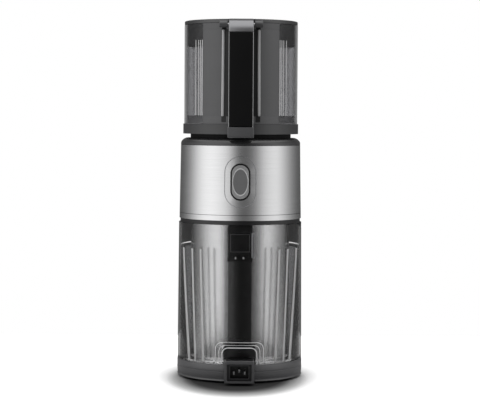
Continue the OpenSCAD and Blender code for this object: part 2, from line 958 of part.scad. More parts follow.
module rear_panel()
    color([0.3, 0.3, 0.31])
    difference() {
        panel_sector(hopper_r + panel_t, shell_inner + 1.2 + seat_gap, panel_z, panel_top, 0.3);
        // recess behind the handle
        span([-channel_half_w, -far, panel_z + 10], [channel_half_w, -hopper_r + 2, panel_top - 8]);
    }

// ---------- handle ----------

// Side profile of the whole handle, as [distance behind the axis, height]
module handle_profile()
    difference() {
        union() {
            translate([foot_ring_r + 0.5, handle_foot_z + 6])
                square([handle_reach - foot_ring_r - 0.5, grip_top - handle_foot_z - 6]);
            translate([foot_step_y, handle_foot_z])
                square([handle_reach - foot_step_y - 4, 7]);
            translate([handle_reach - 4, handle_foot_z + 4])
                circle(r = 4);
        }
        // finger gap with round ends
        translate([foot_ring_r - 6, grip_z + 12])
            square([grip_out - foot_ring_r + 6, grip_top - grip_z - 24]);
        translate([foot_ring_r - 6, grip_z + 8])
            square([grip_out - foot_ring_r + 2, grip_top - grip_z - 16]);
    }

module along_x(half_w)
    rotate([90, 0, -90])
        translate([0, 0, -half_w])
            linear_extrude(2 * half_w)
                children();

module handle_frame()
    color([0.25, 0.25, 0.26])
    difference() {
        along_x(handle_half)
            handle_profile();
        // seat of the grip, over the outer face of the bar
        span([-handle_half + skin, -far, grip_z], [handle_half - skin, -grip_out - 5, grip_top + 1]);
    }

module handle_grip()
    color([0.05, 0.05, 0.055])
    span([-handle_half + skin + seat_gap / 2, -handle_reach - 0.6, grip_z + seat_gap],
        [handle_half - skin - seat_gap / 2, -grip_out - 5 - seat_gap / 2, grip_top - seat_gap]);

module handle_cap()
    color([0.62, 0.62, 0.64])
    difference() {
        along_x(handle_half)
            polygon([[foot_ring_r + 1, grip_top], [handle_reach, grip_top], [handle_reach, lid_top - 7],
                [handle_reach - 3, lid_top - 3.5], [handle_reach - 14, lid_top - 0.8],
                [-hinge_y - 8, lid_top], [-notch_y + 3.5, lid_top], [-notch_y + 3.5, lid_z + 1],
                [hopper_r + 1.6, lid_z + 1], [hopper_r + 1.6, grip_top]]);
        along_x(far)
            translate([-hinge_y, hinge_z])
                circle(r = lid_pin_r);
    }

// ---------- lid ----------

module lid_pin()
    color("silver")
    along_x(handle_half + knuckle_gap + knuckle_w)
        translate([-hinge_y, hinge_z])
            circle(r = lid_pin_r);

module lid()
    color([0.25, 0.25, 0.26])
    difference() {
        union() {
            translate([0, 0, lid_z])
                cylinder(r = lid_r, h = lid_t - 1.2);
            translate([0, 0, lid_z + lid_t - 1.2])
                cylinder(r1 = lid_r, r2 = lid_r - 1.2, h = 1.2);
            for (side = [-1, 1])
                translate([side * (handle_half + knuckle_gap + knuckle_w / 2), 0, 0])
                    along_x(knuckle_w / 2) {
                        translate([-hinge_y, hinge_z])
                            circle(r = knuckle_r);
                        polygon([[-hinge_y, hinge_z + knuckle_r], [-hinge_y - 16, lid_top - 1],
                            [-hinge_y - 16, lid_z], [-hinge_y - knuckle_r + 1.2, lid_z],
                            [-hinge_y, hinge_z]]);
                    }
        }
        lid_notch();
        along_x(far)
            translate([-hinge_y, hinge_z])
                circle(r = lid_pin_r + run_gap);
    }

// Room for the handle's cap at the lid's rear edge
module lid_notch()
    span([-handle_half - knuckle_gap, -far, 0], [handle_half + knuckle_gap, notch_y, far]);

module lid_seal()
    color([0.35, 0.35, 0.36])
    difference() {
        ring(shell_inner - 1.5, shell_inner - 5, lid_z - 3, 3);
        lid_notch();
    }

// ---------- containers ----------

// Half of the space around the column, on the rear side
module rear_half(gap)
    span([-far, -far, 0], [far, -gap, far]);

module pulp_container()
    color([0.85, 0.87, 0.88, 0.35])
    difference() {
        cup_body(cup_r, cup_r - cup_draft, pulp_top, cup_wall, mid_gap);
        // rounded upper corner at the container's +X end
        translate([cup_r - cup_draft - corner_r, 0, pulp_top - corner_r])
            rotate([90, 0, 0])
                linear_extrude(far, center = true)
                    difference() {
                        square(2 * corner_r);
                        circle(r = corner_r);
                    }
        // tunnel over the inlet housing
        tunnel(tunnel_half_w, tunnel_h);
        // notch around the pulp outlet
        span([-notch_half_w, -duct_out - 4, notch_z], [notch_half_w, 0, far]);
    }

// Tunnel opening from the column to the outer wall
module tunnel(half_w, h)
    translate([0, -column_r + 20, base_top])
        rotate([90, 0, 0])
            linear_extrude(far) {
                translate([-half_w, -1])
                    square([2 * half_w, h - 5]);
                translate([-half_w + 6, 0])
                    square([2 * half_w - 12, h]);
                for (side = [-1, 1])
                    translate([side * (half_w - 6), h - 6])
                        circle(r = 6);
            }

// C-shaped cup on the rear side: outer wall, inner wall, floor, two ends and the tunnel's roof
module cup_body(r_foot, r_top, top, wall, gap)
    intersection() {
        difference() {
            translate([0, 0, cup_z])
                cylinder(r1 = r_foot, r2 = r_top, h = top - cup_z);
            cylinder(r = cup_in, h = far);
            difference() {
                translate([0, 0, cup_z + cup_floor])
                    cylinder(r1 = r_foot - wall, r2 = r_top - wall, h = top - cup_z);
                cylinder(r = cup_in + wall, h = far);
                span([-far, -gap - wall, 0], [far, far, far]);
                tunnel(tunnel_half_w + wall, tunnel_h + wall);
            }
        }
        rear_half(gap);
    }

module juice_container()
    color([0.85, 0.87, 0.88, 0.35])
    mirror([0, 1, 0])
        intersection() {
            difference() {
                union() {
                    translate([0, 0, cup_z])
                        cylinder(r1 = liner_foot_r, r2 = liner_rim_r, h = juice_top - cup_z);
                    // rim that hangs over the jacket
                    translate([0, 0, juice_top - 2.4])
                        cylinder(r = cup_r - cup_draft, h = 2.4);
                }
                cylinder(r = cup_in, h = far);
                difference() {
                    translate([0, 0, cup_z + cup_floor])
                        cylinder(r1 = liner_foot_r - cup_wall, r2 = liner_rim_r - cup_wall, h = juice_top - cup_z);
                    cylinder(r = cup_in + cup_wall, h = far);
                    span([-far, -mid_gap - cup_wall, 0], [far, far, far]);
                }
            }
            rear_half(mid_gap);
        }

module juice_jacket()
    color([0.1, 0.1, 0.11])
    mirror([0, 1, 0])
        intersection() {
            difference() {
                translate([0, 0, cup_z])
                    cylinder(r1 = cup_r, r2 = cup_r - cup_draft, h = juice_top - 2.4 - seat_gap / 2 - cup_z);
                translate([0, 0, cup_z - eps])
                    cylinder(r1 = liner_foot_r + seat_gap, r2 = liner_rim_r + seat_gap,
                        h = juice_top - cup_z + 2 * eps);
                // hollow between the jacket and the inner cup, closed at both ends
                intersection() {
                    translate([0, 0, cup_z + 2])
                        cylinder(r1 = cup_r - 2, r2 = cup_r - cup_draft - 2, h = juice_top - cup_z);
                    span([-far, -far, 0], [far, -mid_gap - 2.2, juice_top - 6]);
                }
            }
            rear_half(mid_gap);
        }

// ---------- fasteners ----------

module screw(r, h)
    difference() {
        cylinder(r = r, h = h);
        translate([0, 0, h - 0.8])
            for (a = [0, 90])
                rotate([0, 0, a])
                    cube([1.3 * r, 0.6, 2], center = true);
    }

module screws()
    color("silver") {
        // the board on its posts
        for (a = [0, 180])
            rotate([0, 0, a])
                translate([post_at, 0, board_z + board_t])
                    screw(2.6, 2);
        // gearbox cover on its case
        for (a = [45 : 90 : 315])
            rotate([0, 0, a])
                translate([case_r - 6, 0, cover_top])
                    screw(3.4, 2.6);
        // well on the head floor, hidden under the drum
        for (a = [0 : 120 : 240])
            rotate([0, 0, a])
                translate([well_r + 5, 0, head_z])
                    screw(2.8, 2.2);
    }

feet();
base_plate();
base_ring();
inlet_housing();
power_inlet();
inlet_pins();
control_board();
column_core();
column_sleeve();
spine();
inlet_cover();
motor_brackets();
motor_bearings();
stator();
windings();
rotor();
cooling_fan();
gearbox_case();
gearbox_cover();
idler_pin();
idler_gear();
output_gear();
drive_shaft();
output_bearing();
head_floor();
head_band();
head_shell();
chamber_well();
shaft_seal();
collar_ring();
switch_bezel();
switch_module();
rocker_pin();
rocker();
pulp_duct();
pulp_outlet();
pulp_flap();
juice_duct();
front_skirt();
drum();
drum_gasket();
strainer();
auger();
cutting_wing();
hopper_ring();
hopper_shell();
hopper_ribs();
hopper_seal();
rear_panel();
handle_frame();
handle_grip();
handle_cap();
lid_pin();
lid();
lid_seal();
pulp_container();
juice_container();
juice_jacket();
screws();
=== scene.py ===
# %% [markdown]
# A cold press juicer, dressed for its portrait. The imported model comes first: it is the fixed
# frame that every piece below is measured from.

# %% Load the frame
import json
import math

import bmesh
import bpy
from mathutils import Matrix, Vector


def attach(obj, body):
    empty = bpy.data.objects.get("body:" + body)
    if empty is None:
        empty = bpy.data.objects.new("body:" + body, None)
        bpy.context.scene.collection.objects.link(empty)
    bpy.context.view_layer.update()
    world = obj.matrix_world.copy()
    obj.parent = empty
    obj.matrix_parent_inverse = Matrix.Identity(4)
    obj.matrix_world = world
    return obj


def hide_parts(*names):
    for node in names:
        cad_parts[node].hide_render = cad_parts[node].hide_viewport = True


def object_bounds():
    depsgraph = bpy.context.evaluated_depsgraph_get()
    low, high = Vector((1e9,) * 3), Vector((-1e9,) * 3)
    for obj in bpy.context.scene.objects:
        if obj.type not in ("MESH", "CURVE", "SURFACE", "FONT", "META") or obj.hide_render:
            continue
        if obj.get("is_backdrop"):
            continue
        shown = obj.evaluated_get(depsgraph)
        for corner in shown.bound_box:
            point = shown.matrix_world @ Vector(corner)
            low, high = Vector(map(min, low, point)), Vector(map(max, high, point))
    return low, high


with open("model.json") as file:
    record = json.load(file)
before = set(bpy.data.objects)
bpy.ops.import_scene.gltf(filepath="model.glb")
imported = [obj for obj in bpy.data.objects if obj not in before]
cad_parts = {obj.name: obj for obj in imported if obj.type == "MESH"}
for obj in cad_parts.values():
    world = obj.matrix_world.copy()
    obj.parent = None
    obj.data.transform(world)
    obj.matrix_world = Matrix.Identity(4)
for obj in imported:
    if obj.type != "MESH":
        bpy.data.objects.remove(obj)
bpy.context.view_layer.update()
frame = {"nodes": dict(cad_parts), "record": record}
nodes = frame["nodes"]

# %% [markdown]
# The tower is seen from a little above its middle with a long lens, so that its sides stay nearly
# parallel. The camera could follow a target by a constraint, but one matrix says where it stands
# and how it is tipped, and nothing else has to be worked out when the script runs.

# %% Camera
MM = 0.001
CAMERA_DISTANCE = 2.3207
CAMERA_HEIGHT = 0.3521
CAMERA_PITCH = math.radians(3.2427)
CAMERA_ROLL = math.radians(0.34)
CAMERA_SIDE = -0.0003
LENS_MM = 130.78
SENSOR_MM = 36
FAR_CLIP = 30
CLEAR_BOUNCES = 32
MIRROR_BOUNCES = 8

camera_data = bpy.data.cameras.new("portrait_lens")
camera_data.lens = LENS_MM
camera_data.sensor_width = SENSOR_MM
camera_data.clip_end = FAR_CLIP
camera = bpy.data.objects.new("portrait_camera", camera_data)
bpy.context.scene.collection.objects.link(camera)
camera.matrix_world = (
    Matrix.Translation((CAMERA_SIDE, -CAMERA_DISTANCE, CAMERA_HEIGHT))
    @ Matrix.Rotation(math.pi / 2 - CAMERA_PITCH, 4, "X")
    @ Matrix.Rotation(CAMERA_ROLL, 4, "Z")
)
bpy.context.scene.camera = camera
bpy.context.scene.view_settings.view_transform = "Standard"
# a look through both clear containers crosses many walls
bpy.context.scene.cycles.max_bounces = CLEAR_BOUNCES
bpy.context.scene.cycles.transmission_bounces = CLEAR_BOUNCES
bpy.context.scene.cycles.glossy_bounces = MIRROR_BOUNCES
print("camera at", tuple(round(c, 3) for c in camera.location))

# %% [markdown]
# Polished and brushed metal shows the studio more than itself: it needs broad pale panels at both
# sides, dark gaps between them, and a pale backdrop behind. Rather than a dozen lamps, the world
# itself is painted as such a studio, by direction around the tower. The camera sees plain white.
# Shader trees are long to write by hand, so a few helpers come first.


# %% Node helpers
def add_node(tree, kind, **values):
    """Add a shader node and set its properties, or its sockets with _ for a space in a name."""
    made = tree.nodes.new(kind)
    for name, value in values.items():
        socket = name.replace("_", " ")
        if hasattr(made, name):
            setattr(made, name, value)
        else:
            made.inputs[socket].default_value = value
    return made


def join(tree, source, target, out=0, into=0):
    """Link one node's output to another node's input."""
    tree.links.new(source.outputs[out], target.inputs[into])


def math_step(tree, operation, *values):
    """A Math node; each value is a number or another node's socket."""
    step = add_node(tree, "ShaderNodeMath", operation=operation)
    for i, value in enumerate(values):
        if isinstance(value, (int, float)):
            step.inputs[i].default_value = value
        else:
            tree.links.new(value, step.inputs[i])
    return step.outputs[0]


def ramp(tree, factor, stops, interpolation="EASE"):
    """A colour ramp whose stops are (place, grey level or colour)."""
    made = add_node(tree, "ShaderNodeValToRGB")
    made.color_ramp.interpolation = interpolation
    elements = made.color_ramp.elements
    while len(elements) < len(stops):
        elements.new(0.5)
    for element, (place, level) in zip(elements, stops):
        element.position = place
        colour = (level,) * 3 if isinstance(level, (int, float)) else level
        element.color = (*colour, 1)
    tree.links.new(factor, made.inputs[0])
    return made.outputs[0]


def blend(tree, factor, first, second):
    """Mix two numbers or sockets by a socket."""
    made = add_node(tree, "ShaderNodeMix", data_type="FLOAT")
    tree.links.new(factor, made.inputs[0])
    for i, value in ((2, first), (3, second)):
        if isinstance(value, (int, float)):
            made.inputs[i].default_value = value
        else:
            tree.links.new(value, made.inputs[i])
    return made.outputs[0]


# %% [markdown]
# The studio is two rows of brightness by bearing, one for each side of the tower, because its two
# halves aren't lit alike. An image of a real studio would bring detail that nobody could explain;
# a few stops can be read and changed. The arc tangent of a direction's X and Y is its bearing, and
# its Z brings in the pale ceiling.

# %% The studio, painted on the world
# each stop is a bearing in degrees from the camera's side, and a brightness
LEFT_STOPS = [
    (0, 0.12), (8, 0.26), (16, 0.62), (25, 1.0), (40, 1.25), (56, 1.42), (72, 1.34), (86, 1.05),
    (98, 0.7), (112, 0.38), (128, 0.2), (145, 0.12), (180, 0.1),
]
RIGHT_STOPS = [
    (0, 0.12), (12, 0.12), (22, 0.2), (32, 0.42), (44, 0.85), (58, 1.1), (74, 1.2), (84, 0.95),
    (98, 0.62), (112, 0.36), (128, 0.2), (145, 0.12), (180, 0.1),
]
STUDIO_PEAK = 2.0
OVERHEAD = 1.3
OVERHEAD_FROM, OVERHEAD_FULL = 0.5, 0.85
BEHIND = 1.0

world = bpy.data.worlds.new("studio")
bpy.context.scene.world = world
world.use_nodes = True
sky = world.node_tree
sky.nodes.clear()
direction = add_node(sky, "ShaderNodeTexCoord")
split = add_node(sky, "ShaderNodeSeparateXYZ")
join(sky, direction, split, out=0)
away = math_step(sky, "MULTIPLY", split.outputs[1], -1.0)
bearing = math_step(sky, "ARCTAN2", split.outputs[0], away)
turn = math_step(sky, "DIVIDE", math_step(sky, "ABSOLUTE", bearing), math.pi)
sides = []
for stops in (LEFT_STOPS, RIGHT_STOPS):
    shares = [(angle / 180, level / STUDIO_PEAK) for angle, level in stops]
    sides.append(ramp(sky, turn, shares, "LINEAR"))
is_right = math_step(sky, "GREATER_THAN", split.outputs[0], 0.0)
around = math_step(sky, "MULTIPLY", blend(sky, is_right, sides[0], sides[1]), STUDIO_PEAK)
upward = math_step(sky, "MAXIMUM", split.outputs[2], 0.0)
lift = ramp(sky, upward, [(OVERHEAD_FROM, 0.0), (OVERHEAD_FULL, 1.0)])
studio = blend(sky, lift, around, OVERHEAD)
# light that comes straight through a clear wall, with no reflection on its way, finds the
# same white backdrop as the camera does
rays = add_node(sky, "ShaderNodeLightPath")
straight = math_step(sky, "LESS_THAN", rays.outputs["Glossy Depth"], 0.5)
straight = math_step(sky, "MULTIPLY", straight, rays.outputs["Is Transmission Ray"])
straight = math_step(sky, "SUBTRACT", straight, rays.outputs["Diffuse Depth"])
straight = math_step(sky, "GREATER_THAN", straight, 0.5)
studio = blend(sky, straight, studio, BEHIND)
background = add_node(sky, "ShaderNodeBackground", Color=(1, 1, 1, 1))
sky.links.new(blend(sky, rays.outputs["Is Camera Ray"], studio, 1.0), background.inputs[1])
join(sky, background, add_node(sky, "ShaderNodeOutputWorld"))
print("studio bearings:", [angle for angle, _ in LEFT_STOPS])

# %% [markdown]
# The floor is one wide pale sheet. To the camera it is lifted to white, so that it runs into the
# backdrop, and the soft shadow round the foot is painted on it by distance. A traced shadow would
# need a lamp of its own, whose light would also fall on the tower; the painted one leaves it alone.

# %% Floor
FLOOR_SIZE = 0.8
FLOOR_SEEN = 1.65
FLOOR_PLAIN = 0.7
FLOOR_MIRRORED = 0.36
SHADOW_FORWARD = 0.03
SHADOW_LENGTH = 1.7
SHADOW_ASIDE = 0.003
SHADOW_SPAN = 0.2
# each stop is a distance from the shadow's middle in metres, and the share of light left there
SHADOW_STOPS = [
    (0.0, 0.02), (0.06, 0.03), (0.067, 0.08), (0.077, 0.24), (0.084, 0.36), (0.0957, 0.7),
    (0.105, 0.84), (0.12, 1.0),
]


def material(name):
    """An empty node material and its tree."""
    made = bpy.data.materials.new(name)
    made.use_nodes = True
    made.node_tree.nodes.clear()
    return made, made.node_tree


floor_finish, tree = material("pale_floor")
to_camera = add_node(tree, "ShaderNodeLightPath")
unseen = blend(tree, to_camera.outputs["Is Glossy Ray"], FLOOR_PLAIN, FLOOR_MIRRORED)
level = blend(tree, to_camera.outputs["Is Camera Ray"], unseen, FLOOR_SEEN)
# the light comes a little from behind, so the contact shadow lies deeper in front of the foot
place = add_node(tree, "ShaderNodeTexCoord")
shift = add_node(tree, "ShaderNodeMapping", vector_type="POINT")
shift.inputs["Location"].default_value = (SHADOW_ASIDE, SHADOW_FORWARD / SHADOW_LENGTH, 0)
shift.inputs["Scale"].default_value = (1, 1 / SHADOW_LENGTH, 1)
join(tree, place, shift, out=3)
distance = add_node(tree, "ShaderNodeVectorMath", operation="LENGTH")
join(tree, shift, distance)
reach = math_step(tree, "DIVIDE", distance.outputs["Value"], SHADOW_SPAN)
stops = [(away / SHADOW_SPAN, light) for away, light in SHADOW_STOPS]
shadow = ramp(tree, reach, stops, "LINEAR")
diffuse = add_node(tree, "ShaderNodeBsdfDiffuse")
tree.links.new(math_step(tree, "MULTIPLY", level, shadow), diffuse.inputs[0])
join(tree, diffuse, add_node(tree, "ShaderNodeOutputMaterial"))
bm = bmesh.new()
bmesh.ops.create_grid(bm, x_segments=1, y_segments=1, size=FLOOR_SIZE / 2)
floor_mesh = bpy.data.meshes.new("floor")
bm.to_mesh(floor_mesh)
bm.free()
floor_mesh.materials.append(floor_finish)
floor = bpy.data.objects.new("floor", floor_mesh)
bpy.context.scene.collection.objects.link(floor)
floor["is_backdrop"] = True
print("floor:", FLOOR_SIZE, "m wide")

# %% [markdown]
# Finishes come next, one function for each kind of surface. A picture wrapped round the part would
# be quick, but it blurs up close and slides at seams. Procedural noise is read from Object
# coordinates instead, in metres on the real object, so a pattern stays put from every side.


# %% Shared parts of the finishes
def principled(tree, colour, roughness, **more):
    """A Principled shader wired to its output."""
    shader = add_node(tree, "ShaderNodeBsdfPrincipled", Roughness=roughness)
    shader.inputs["Base Color"].default_value = (*colour, 1)
    for name, value in more.items():
        shader.inputs[name.replace("_", " ")].default_value = value
    join(tree, shader, add_node(tree, "ShaderNodeOutputMaterial"))
    return shader


def noise(tree, scale, detail=3, stretch=(1, 1, 1), roughness=0.5):
    """Noise on Object coordinates; stretch multiplies its frequency along each axis."""
    place = add_node(tree, "ShaderNodeTexCoord")
    sizing = add_node(tree, "ShaderNodeMapping")
    sizing.inputs["Scale"].default_value = stretch
    made = add_node(tree, "ShaderNodeTexNoise", Scale=scale, Detail=detail, Roughness=roughness)
    join(tree, place, sizing, out=3)
    join(tree, sizing, made)
    return made.outputs[0]


def spread(tree, factor, low, high, start=0.0):
    """Map a factor between start and 1 to a range."""
    made = add_node(tree, "ShaderNodeMapRange")
    tree.links.new(factor, made.inputs[0])
    made.inputs[1].default_value = start
    made.inputs[3].default_value = low
    made.inputs[4].default_value = high
    return made.outputs[0]


def tint(tree, factor, first, second):
    """Blend two colours by a factor; each is a colour or another node's socket."""
    made = add_node(tree, "ShaderNodeMix", data_type="RGBA")
    tree.links.new(factor, made.inputs[0])
    for i, colour in ((6, first), (7, second)):
        if isinstance(colour, tuple):
            made.inputs[i].default_value = (*colour, 1)
        else:
            tree.links.new(colour, made.inputs[i])
    return made.outputs[2]


def bump(tree, shader, height, strength, distance):
    """Raise the surface by a height factor; distance is in metres."""
    made = add_node(tree, "ShaderNodeBump", Strength=strength, Distance=distance)
    tree.links.new(height, made.inputs["Height"])
    join(tree, made, shader, into=shader.inputs.find("Normal"))


def shade(colour, factor):
    """A colour made lighter or darker."""
    return tuple(c * factor for c in colour)


# %% [markdown]
# Injection-moulded plastic is never a flat colour: the mould leaves a fine grain, and the gloss and
# tone wander a little where the melt cooled unevenly. One broad noise drives both of those, and a
# second, fine one only lifts the surface, because grain is too small to change the colour.


# %% Moulded plastic and rubber
def moulded(name, colour, roughness, grain=2500, depth=0.00003, coat=0.0, ior=1.5):
    """Injection-moulded plastic: a fine grain, a little mottling in gloss and tone."""
    finish, tree = material(name)
    shader = principled(tree, colour, roughness, IOR=ior, Coat_Weight=coat, Coat_Roughness=0.12)
    mottling = noise(tree, 38, 4)
    tone = tint(tree, mottling, shade(colour, 0.88), shade(colour, 1.1))
    tree.links.new(tone, shader.inputs["Base Color"])
    gloss = spread(tree, mottling, roughness * 0.9, roughness * 1.12)
    tree.links.new(gloss, shader.inputs["Roughness"])
    bump(tree, shader, noise(tree, grain, 2), 0.35, depth)
    return finish


# %% [markdown]
# The head and the column are wrapped in steel that was brushed around the tower, so its hair-fine
# scratches run along the ring and stretch a highlight upwards. Noise that is drawn out in X and Y
# gives the streaks, a radial tangent turns the reflection with them, and a broad noise keeps the
# gloss from being even. On the column the spine and the clear walls shade the steel beside them,
# and that shade is painted into the steel's colour by a few stops across X, which hold more steadily
# than traced light would.

# %% Painted shade across the rear
SHADE_HALF_MM = 50


def shade_across(tree, tone, shade_stops):
    """Paint shade on a tone at the rear by stops of (X in mm, share of light left)."""
    place = add_node(tree, "ShaderNodeTexCoord")
    parts = add_node(tree, "ShaderNodeSeparateXYZ")
    join(tree, place, parts, out=3)
    rear = math_step(tree, "LESS_THAN", parts.outputs[1], 0.0)
    per_metre = 0.5 / (SHADE_HALF_MM * MM)
    across = math_step(tree, "MULTIPLY_ADD", parts.outputs[0], per_metre, 0.5)
    stops = [(0.5 + x / (2 * SHADE_HALF_MM), light) for x, light in shade_stops]
    kept = blend(tree, rear, 1.0, ramp(tree, across, stops, "LINEAR"))
    toned = add_node(tree, "ShaderNodeVectorMath", operation="SCALE")
    tree.links.new(tone, toned.inputs[0])
    tree.links.new(kept, toned.inputs["Scale"])
    return toned.outputs[0]


# %% Brushed steel
def brushed(name, colour, roughness, streak=1500, depth=0.00002, shade_stops=()):
    """Steel brushed around the tower, with painted shade across the rear where shade_stops say so."""
    finish, tree = material(name)
    shader = principled(tree, colour, roughness, Metallic=1.0, Anisotropic=0.55)
    streaks = noise(tree, streak, 5, (0.012, 0.012, 1), 0.65)
    broad = noise(tree, 60, 3, (0.15, 0.15, 1))
    tone = tint(tree, streaks, shade(colour, 0.86), shade(colour, 1.08))
    if shade_stops:
        tone = shade_across(tree, tone, shade_stops)
    tree.links.new(tone, shader.inputs["Base Color"])
    mixed = math_step(tree, "MULTIPLY", math_step(tree, "ADD", streaks, broad), 0.5)
    gloss = spread(tree, mixed, roughness * 0.72, roughness * 1.3)
    tree.links.new(gloss, shader.inputs["Roughness"])
    bump(tree, shader, streaks, 0.22, depth)
    ring_direction = add_node(tree, "ShaderNodeTangent", direction_type="RADIAL", axis="Z")
    join(tree, ring_direction, shader, into=shader.inputs.find("Tangent"))
    return finish


# %% [markdown]
# Contacts, brackets, bearings and screws are cast, ground or stamped. They show no direction, only
# an even fine grain, so one noise serves the tone, the gloss and the relief together.


# %% Plain metals
def metal(name, colour, roughness, grain=900, depth=0.00003):
    """Cast, ground or stamped metal with an even fine grain."""
    finish, tree = material(name)
    shader = principled(tree, colour, roughness, Metallic=1.0)
    grains = noise(tree, grain, 4)
    tone = tint(tree, grains, shade(colour, 0.8), shade(colour, 1.12))
    tree.links.new(tone, shader.inputs["Base Color"])
    gloss = spread(tree, grains, roughness * 0.75, roughness * 1.25)
    tree.links.new(gloss, shader.inputs["Roughness"])
    bump(tree, shader, grains, 0.3, depth)
    return finish


# %% [markdown]
# The hopper and the containers are clear plastic. Glass would bend the view too strongly for walls
# this thin and this many, so the refraction is set low. Where the smoked wall turns away from the
# eye it gets a painted pale sheen in place of the light it reflects there: a Layer Weight node finds
# that edge and trades some of the transmission for a light tone.

# %% Clear and smoked plastic
SHEEN_EDGE_START = 0.64


def clear(name, colour, roughness=0.02, wear=0.05, ior=1.45, edge=0.0):
    """Clear plastic with faint flow marks; edge is the grey level of a painted sheen where it turns
    away.
    """
    finish, tree = material(name)
    shader = principled(tree, colour, roughness, IOR=ior, Transmission_Weight=1.0)
    marks = noise(tree, 45, 4, (1, 1, 0.25))
    tree.links.new(spread(tree, marks, roughness, roughness + wear), shader.inputs["Roughness"])
    tone = tint(tree, marks, shade(colour, 0.96), shade(colour, 1.0))
    # a painted sheen: the wall takes a light tone where it turns away from the eye
    if edge:
        turning = add_node(tree, "ShaderNodeLayerWeight", Blend=0.5)
        share = spread(tree, turning.outputs["Facing"], 0.0, 1.0, SHEEN_EDGE_START)
        tone = tint(tree, share, tone, (edge,) * 3)
        through = math_step(tree, "SUBTRACT", 1.0, share)
        tree.links.new(through, shader.inputs["Transmission Weight"])
    tree.links.new(tone, shader.inputs["Base Color"])
    bump(tree, shader, marks, 0.08, 0.0002)
    return finish


# %% [markdown]
# The motor's stator is a pile of stamped sheets and its windings are turns of wire. Modelling each
# layer would cost thousands of faces inside a closed case, so a wave texture draws the layers.

# %% Windings and stacked laminations
WAVE_SCALE_AT_1_M = 0.314


def layered(name, first, second, pitch, metallic, roughness):
    """Thin layers up the axis: wound wire or stamped sheets, as fine bands along Z."""
    finish, tree = material(name)
    shader = principled(tree, first, roughness, Metallic=metallic)
    place = add_node(tree, "ShaderNodeTexCoord")
    bands = add_node(tree, "ShaderNodeTexWave", bands_direction="Z", Distortion=0.3, Detail=1.0)
    bands.inputs["Scale"].default_value = WAVE_SCALE_AT_1_M / pitch
    join(tree, place, bands, out=3)
    tree.links.new(tint(tree, bands.outputs[1], first, second), shader.inputs["Base Color"])
    bump(tree, shader, bands.outputs[1], 0.6, pitch * 0.2)
    return finish


# %% [markdown]
# One table holds every finish. Its name is what a workshop would call the surface. The imported nodes
# take the finish that their record's slot names, and a few get a closer one, listed one by one.

# %% The finishes themselves
# stops of painted shade on the column's steel beside the spine
PAINTED_SHADE_BESIDE_SPINE = [
    (-31, 1.0), (-25.7, 0.92), (-21.8, 0.72), (-18, 0.27), (-14, 0.2), (14, 0.26), (16.3, 0.33),
    (20, 0.4), (23.9, 0.52), (27.7, 0.76), (33, 1.0),
]
FINISHES = {
    "rubber": moulded("rubber_feet", (0.03, 0.03, 0.031), 0.75, 1800, 0.00006),
    "dark_plastic": moulded("dark_plastic", (0.035, 0.035, 0.037), 0.42),
    "grey_plastic": moulded("grey_plastic", (0.066, 0.066, 0.0685), 0.32, coat=0.1),
    "black_plastic": moulded("black_plastic", (0.006, 0.006, 0.0065), 0.3),
    "matt_black": moulded("matt_black", (0.003, 0.003, 0.0032), 0.5, ior=1.22),
    "contact_metal": metal("contact_metal", (0.8, 0.8, 0.79), 0.5),
    "circuit_board": moulded("circuit_board", (0.02, 0.12, 0.05), 0.4, 700, 0.00008),
    "brushed_steel": brushed("brushed_steel", (0.64, 0.64, 0.645), 0.22),
    # the column's steel, with painted shade beside the spine
    "sleeve_steel_painted_shade": brushed("sleeve_steel_painted_shade", (0.64, 0.64, 0.645), 0.22, shade_stops=PAINTED_SHADE_BESIDE_SPINE),
    "cast_metal": metal("cast_metal", (0.5, 0.5, 0.51), 0.5, 500, 0.0001),
    "bearing_metal": metal("bearing_metal", (0.62, 0.62, 0.63), 0.22),
    "lamination": layered("lamination", (0.3, 0.3, 0.31), (0.14, 0.14, 0.15), 0.0007, 0.9, 0.45),
    "copper": layered("copper_wire", (0.62, 0.25, 0.09), (0.35, 0.12, 0.04), 0.0009, 0.85, 0.32),
    "gear_plastic": moulded("gear_nylon", (0.72, 0.66, 0.5), 0.38),
    "silicone": moulded("silicone", (0.09, 0.09, 0.095), 0.55, 1200, 0.00004),
    "satin_trim": metal("satin_trim", (0.3, 0.3, 0.31), 0.34, 2200, 0.00002),
    "light_trim": moulded("light_trim", (0.36, 0.36, 0.365), 0.3, coat=0.3),
    # pale, a painted highlight on the clear containers' ribs and beads
    "painted_highlight_white": moulded("painted_highlight_white", (0.86, 0.86, 0.865), 0.25),
    # pale, a painted highlight on the recess's edges and round the finger dish
    "pale_edge_painted_highlight": moulded("pale_edge_painted_highlight", (0.48, 0.48, 0.485), 0.3),
    # pale, a painted highlight along the hopper's flutes
    "flute_painted_highlight": moulded("flute_painted_highlight", (0.62, 0.62, 0.625), 0.3),
    "dish_grey": moulded("dish_grey", (0.13, 0.13, 0.132), 0.45, 1400, 0.00005),
    "rocker_grey": moulded("rocker_grey", (0.26, 0.26, 0.262), 0.3, coat=0.2),
    "deep_gloss": moulded("deep_gloss", (0.02, 0.02, 0.021), 0.25, coat=0.6),
    "ring_grey": moulded("ring_grey", (0.038, 0.038, 0.0395), 0.36),
    "base_grey": moulded("base_grey", (0.088, 0.088, 0.091), 0.32, coat=0.1),
    "low_grey": moulded("low_grey", (0.42, 0.42, 0.425), 0.35),
    "strainer_plastic": moulded("strainer_resin", (0.32, 0.32, 0.31), 0.4),
    "auger_plastic": moulded("auger_resin", (0.06, 0.06, 0.065), 0.36),
    # its pale edge is a painted sheen where the smoked wall turns away
    "smoked_clear": clear("smoked_clear", (0.47, 0.47, 0.48), ior=1.35, edge=0.9),
    "clear_plastic": clear("clear_plastic", (0.95, 0.95, 0.95), ior=1.28),
    "dark_smoked": clear("dark_smoked", (0.15, 0.15, 0.155), 0.06, ior=1.35),
}
